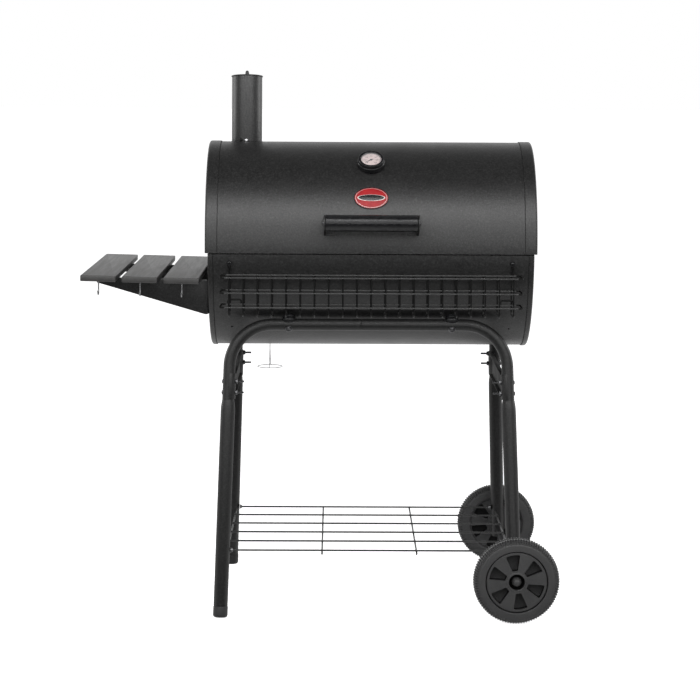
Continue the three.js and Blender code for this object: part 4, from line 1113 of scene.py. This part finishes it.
for x in (-328, 328):
    screws.append(on_drum(join(shift(HEAD5, 0, 0, 248.6), tube_along(2.5, 240, 249.5, 16), shift(lathe([(2.5, 0), (6, 0), (6, 0.9), (2.5, 0.9)], 24), 0, 0, 243.0)), -6.2, 0, x))
piece("basket_screws", joined(screws), gauge_m, "cart")

# ring for the grease can
x0, z0 = -241, 555
ring_path = [(x0 + 30 * math.cos(2 * math.pi * k / 48), 30 * math.sin(2 * math.pi * k / 48), z0) for k in range(48)]
can = [sweep(ring_path, 1.0, 10, closed=True)]
can.append(sweep(rounded([(x0, 30, z0), (x0, 30, z0 + 16), (x0, 3.4, 598), (x0, 3.4, 609.2), (x0, -3.4, 609.2), (x0, -3.4, 598), (x0, -30, z0 + 16), (x0, -30, z0)], [0, 8, 6, 3, 3, 6, 8, 0], 5, False), 1.0, 10))
piece("can_ring", joined(can), pale, "cart", "grease_can_ring", 40)

# ------------------------------------------------------------------ floor, light, camera
def m_floor():
    m = Mat("studio_floor")
    a = m.noise(3, 3)
    return m.done(m.mix(m.map(a, 0, 1), (0.90, 0.90, 0.90), (0.93, 0.93, 0.93)), m.map(a, 0.85, 0.95), Specular_IOR_Level=0.0, Emission_Color=(1, 1, 1, 1), Emission_Strength=0.80)


bm = bmesh.new()
bmesh.ops.create_grid(bm, x_segments=4, y_segments=4, size=60)
me = bpy.data.meshes.new("studio_floor")
bm.to_mesh(me)
bm.free()
floor = bpy.data.objects.new("studio_floor", me)
floor.location = (0, 0, -0.0002)
bpy.context.scene.collection.objects.link(floor)
me.materials.append(m_floor())
floor.visible_glossy = False
floor.visible_diffuse = False

# studio surroundings: a tall soft light in front from knee height up, dim walls behind and above, a lit floor below
world = bpy.data.worlds.new("studio")
bpy.context.scene.world = world
world.use_nodes = True
nt = world.node_tree
bg = nt.nodes["Background"]
tc = nt.nodes.new("ShaderNodeTexCoord")
sep = nt.nodes.new("ShaderNodeSeparateXYZ")
nt.links.new(tc.outputs["Generated"], sep.inputs[0])


def world_ramp(stops):
    """Brightness over the direction's height, from -1 straight down to 1 straight up; stops are (degrees, brightness)."""
    mr = nt.nodes.new("ShaderNodeMapRange")
    mr.inputs["From Min"].default_value, mr.inputs["From Max"].default_value = -1, 1
    nt.links.new(sep.outputs["Z"], mr.inputs["Value"])
    cr = nt.nodes.new("ShaderNodeValToRGB")
    el = cr.color_ramp.elements
    while len(el) < len(stops):
        el.new(0.5)
    for e, (deg, v) in zip(el, stops):
        e.position = (math.sin(rad(deg)) + 1) / 2
        e.color = (v / 4, v / 4, v / 4, 1)
    nt.links.new(mr.outputs["Result"], cr.inputs["Fac"])
    return cr.outputs["Color"]


FRONT = ((-90, 0.95), (-62, 0.85), (-48, 0.48), (-30, 0.10), (-9, 0.06), (-2.5, 0.09), (-0.6, 0.13), (0.6, 0.42), (4, 0.38), (8, 0.325), (13, 0.325), (20, 0.335), (40, 0.34), (60, 0.25), (75, 0.14), (90, 0.12))
REAR = ((-90, 0.95), (-62, 0.85), (-48, 0.75), (-25, 0.9), (-6, 0.5), (4, 0.8), (22, 0.8), (36, 0.40), (65, 0.14), (90, 0.10))


def calc(op, a, b=None):
    node = nt.nodes.new("ShaderNodeMath")
    node.operation = op
    for i, v in enumerate((a, b)):
        if v is None:
            continue
        if hasattr(v, "is_linked"):
            nt.links.new(v, node.inputs[i])
        else:
            node.inputs[i].default_value = v
    return node.outputs[0]


level = calc("SQRT", calc("MAXIMUM", calc("SUBTRACT", 1.0, calc("MULTIPLY", sep.outputs["Z"], sep.outputs["Z"])), 0.01))
side = nt.nodes.new("ShaderNodeMapRange")
side.interpolation_type = "SMOOTHSTEP"
for k, v in (("From Min", -0.60), ("From Max", -0.10), ("To Min", 1.0), ("To Max", 0.0)):
    side.inputs[k].default_value = v
nt.links.new(calc("DIVIDE", sep.outputs["Y"], level), side.inputs["Value"])
mx = nt.nodes.new("ShaderNodeMix")
mx.data_type = "RGBA"
nt.links.new(side.outputs["Result"], mx.inputs[0])
nt.links.new(world_ramp(REAR), mx.inputs[6])
nt.links.new(world_ramp(FRONT), mx.inputs[7])
nt.links.new(mx.outputs[2], bg.inputs["Color"])
bg.inputs["Strength"].default_value = 4.0
plain = nt.nodes.new("ShaderNodeBackground")
plain.inputs["Color"].default_value = (1, 1, 1, 1)
lp = nt.nodes.new("ShaderNodeLightPath")
ms = nt.nodes.new("ShaderNodeMixShader")
nt.links.new(lp.outputs["Is Camera Ray"], ms.inputs[0])
nt.links.new(bg.outputs[0], ms.inputs[1])
nt.links.new(plain.outputs[0], ms.inputs[2])
nt.links.new(ms.outputs[0], nt.nodes["World Output"].inputs["Surface"])


def softbox(name, loc, aim, sx, sy, power, spread=180):
    d = bpy.data.lights.new(name, "AREA")
    d.shape, d.size, d.size_y, d.energy = "RECTANGLE", sx, sy, power
    d.spread = rad(spread)
    o = bpy.data.objects.new(name, d)
    o.location = loc
    o.rotation_euler = (Vector(aim) - Vector(loc)).to_track_quat("-Z", "Y").to_euler()
    o.visible_camera = False
    bpy.context.scene.collection.objects.link(o)
    return o


softbox("front_low", (0, -4.5, 1.55), (0, 0, 1.3), 11.5, 1.75, 86)
softbox("front_high", (0, -3.94, 4.0), (0, 0, 0.95), 10.5, 3.3, 224)
softbox("front_strip", (0, -4.06, 4.36), (0, 0, 0.92), 10.5, 0.24, 78)
for s in (-1, 1):
    softbox("side_left" if s < 0 else "side_right", (s * 4.3, 1.7, 1.8), (0, 0, 0.75), 2.4, 2.4, 42)

cam = bpy.data.cameras.new("camera")
cam.lens, cam.sensor_width = 2211.2 / 700 * 36, 36
cam.clip_start, cam.clip_end = 0.05, 200
co = bpy.data.objects.new("camera", cam)
co.location = (0.03004, -5.34635, 1.28367)
co.rotation_euler = (rad(90 - 7.3328), rad(-0.2986), rad(-0.3599))
bpy.context.scene.collection.objects.link(co)
bpy.context.scene.camera = co
bpy.context.scene.view_settings.view_transform = "Standard"
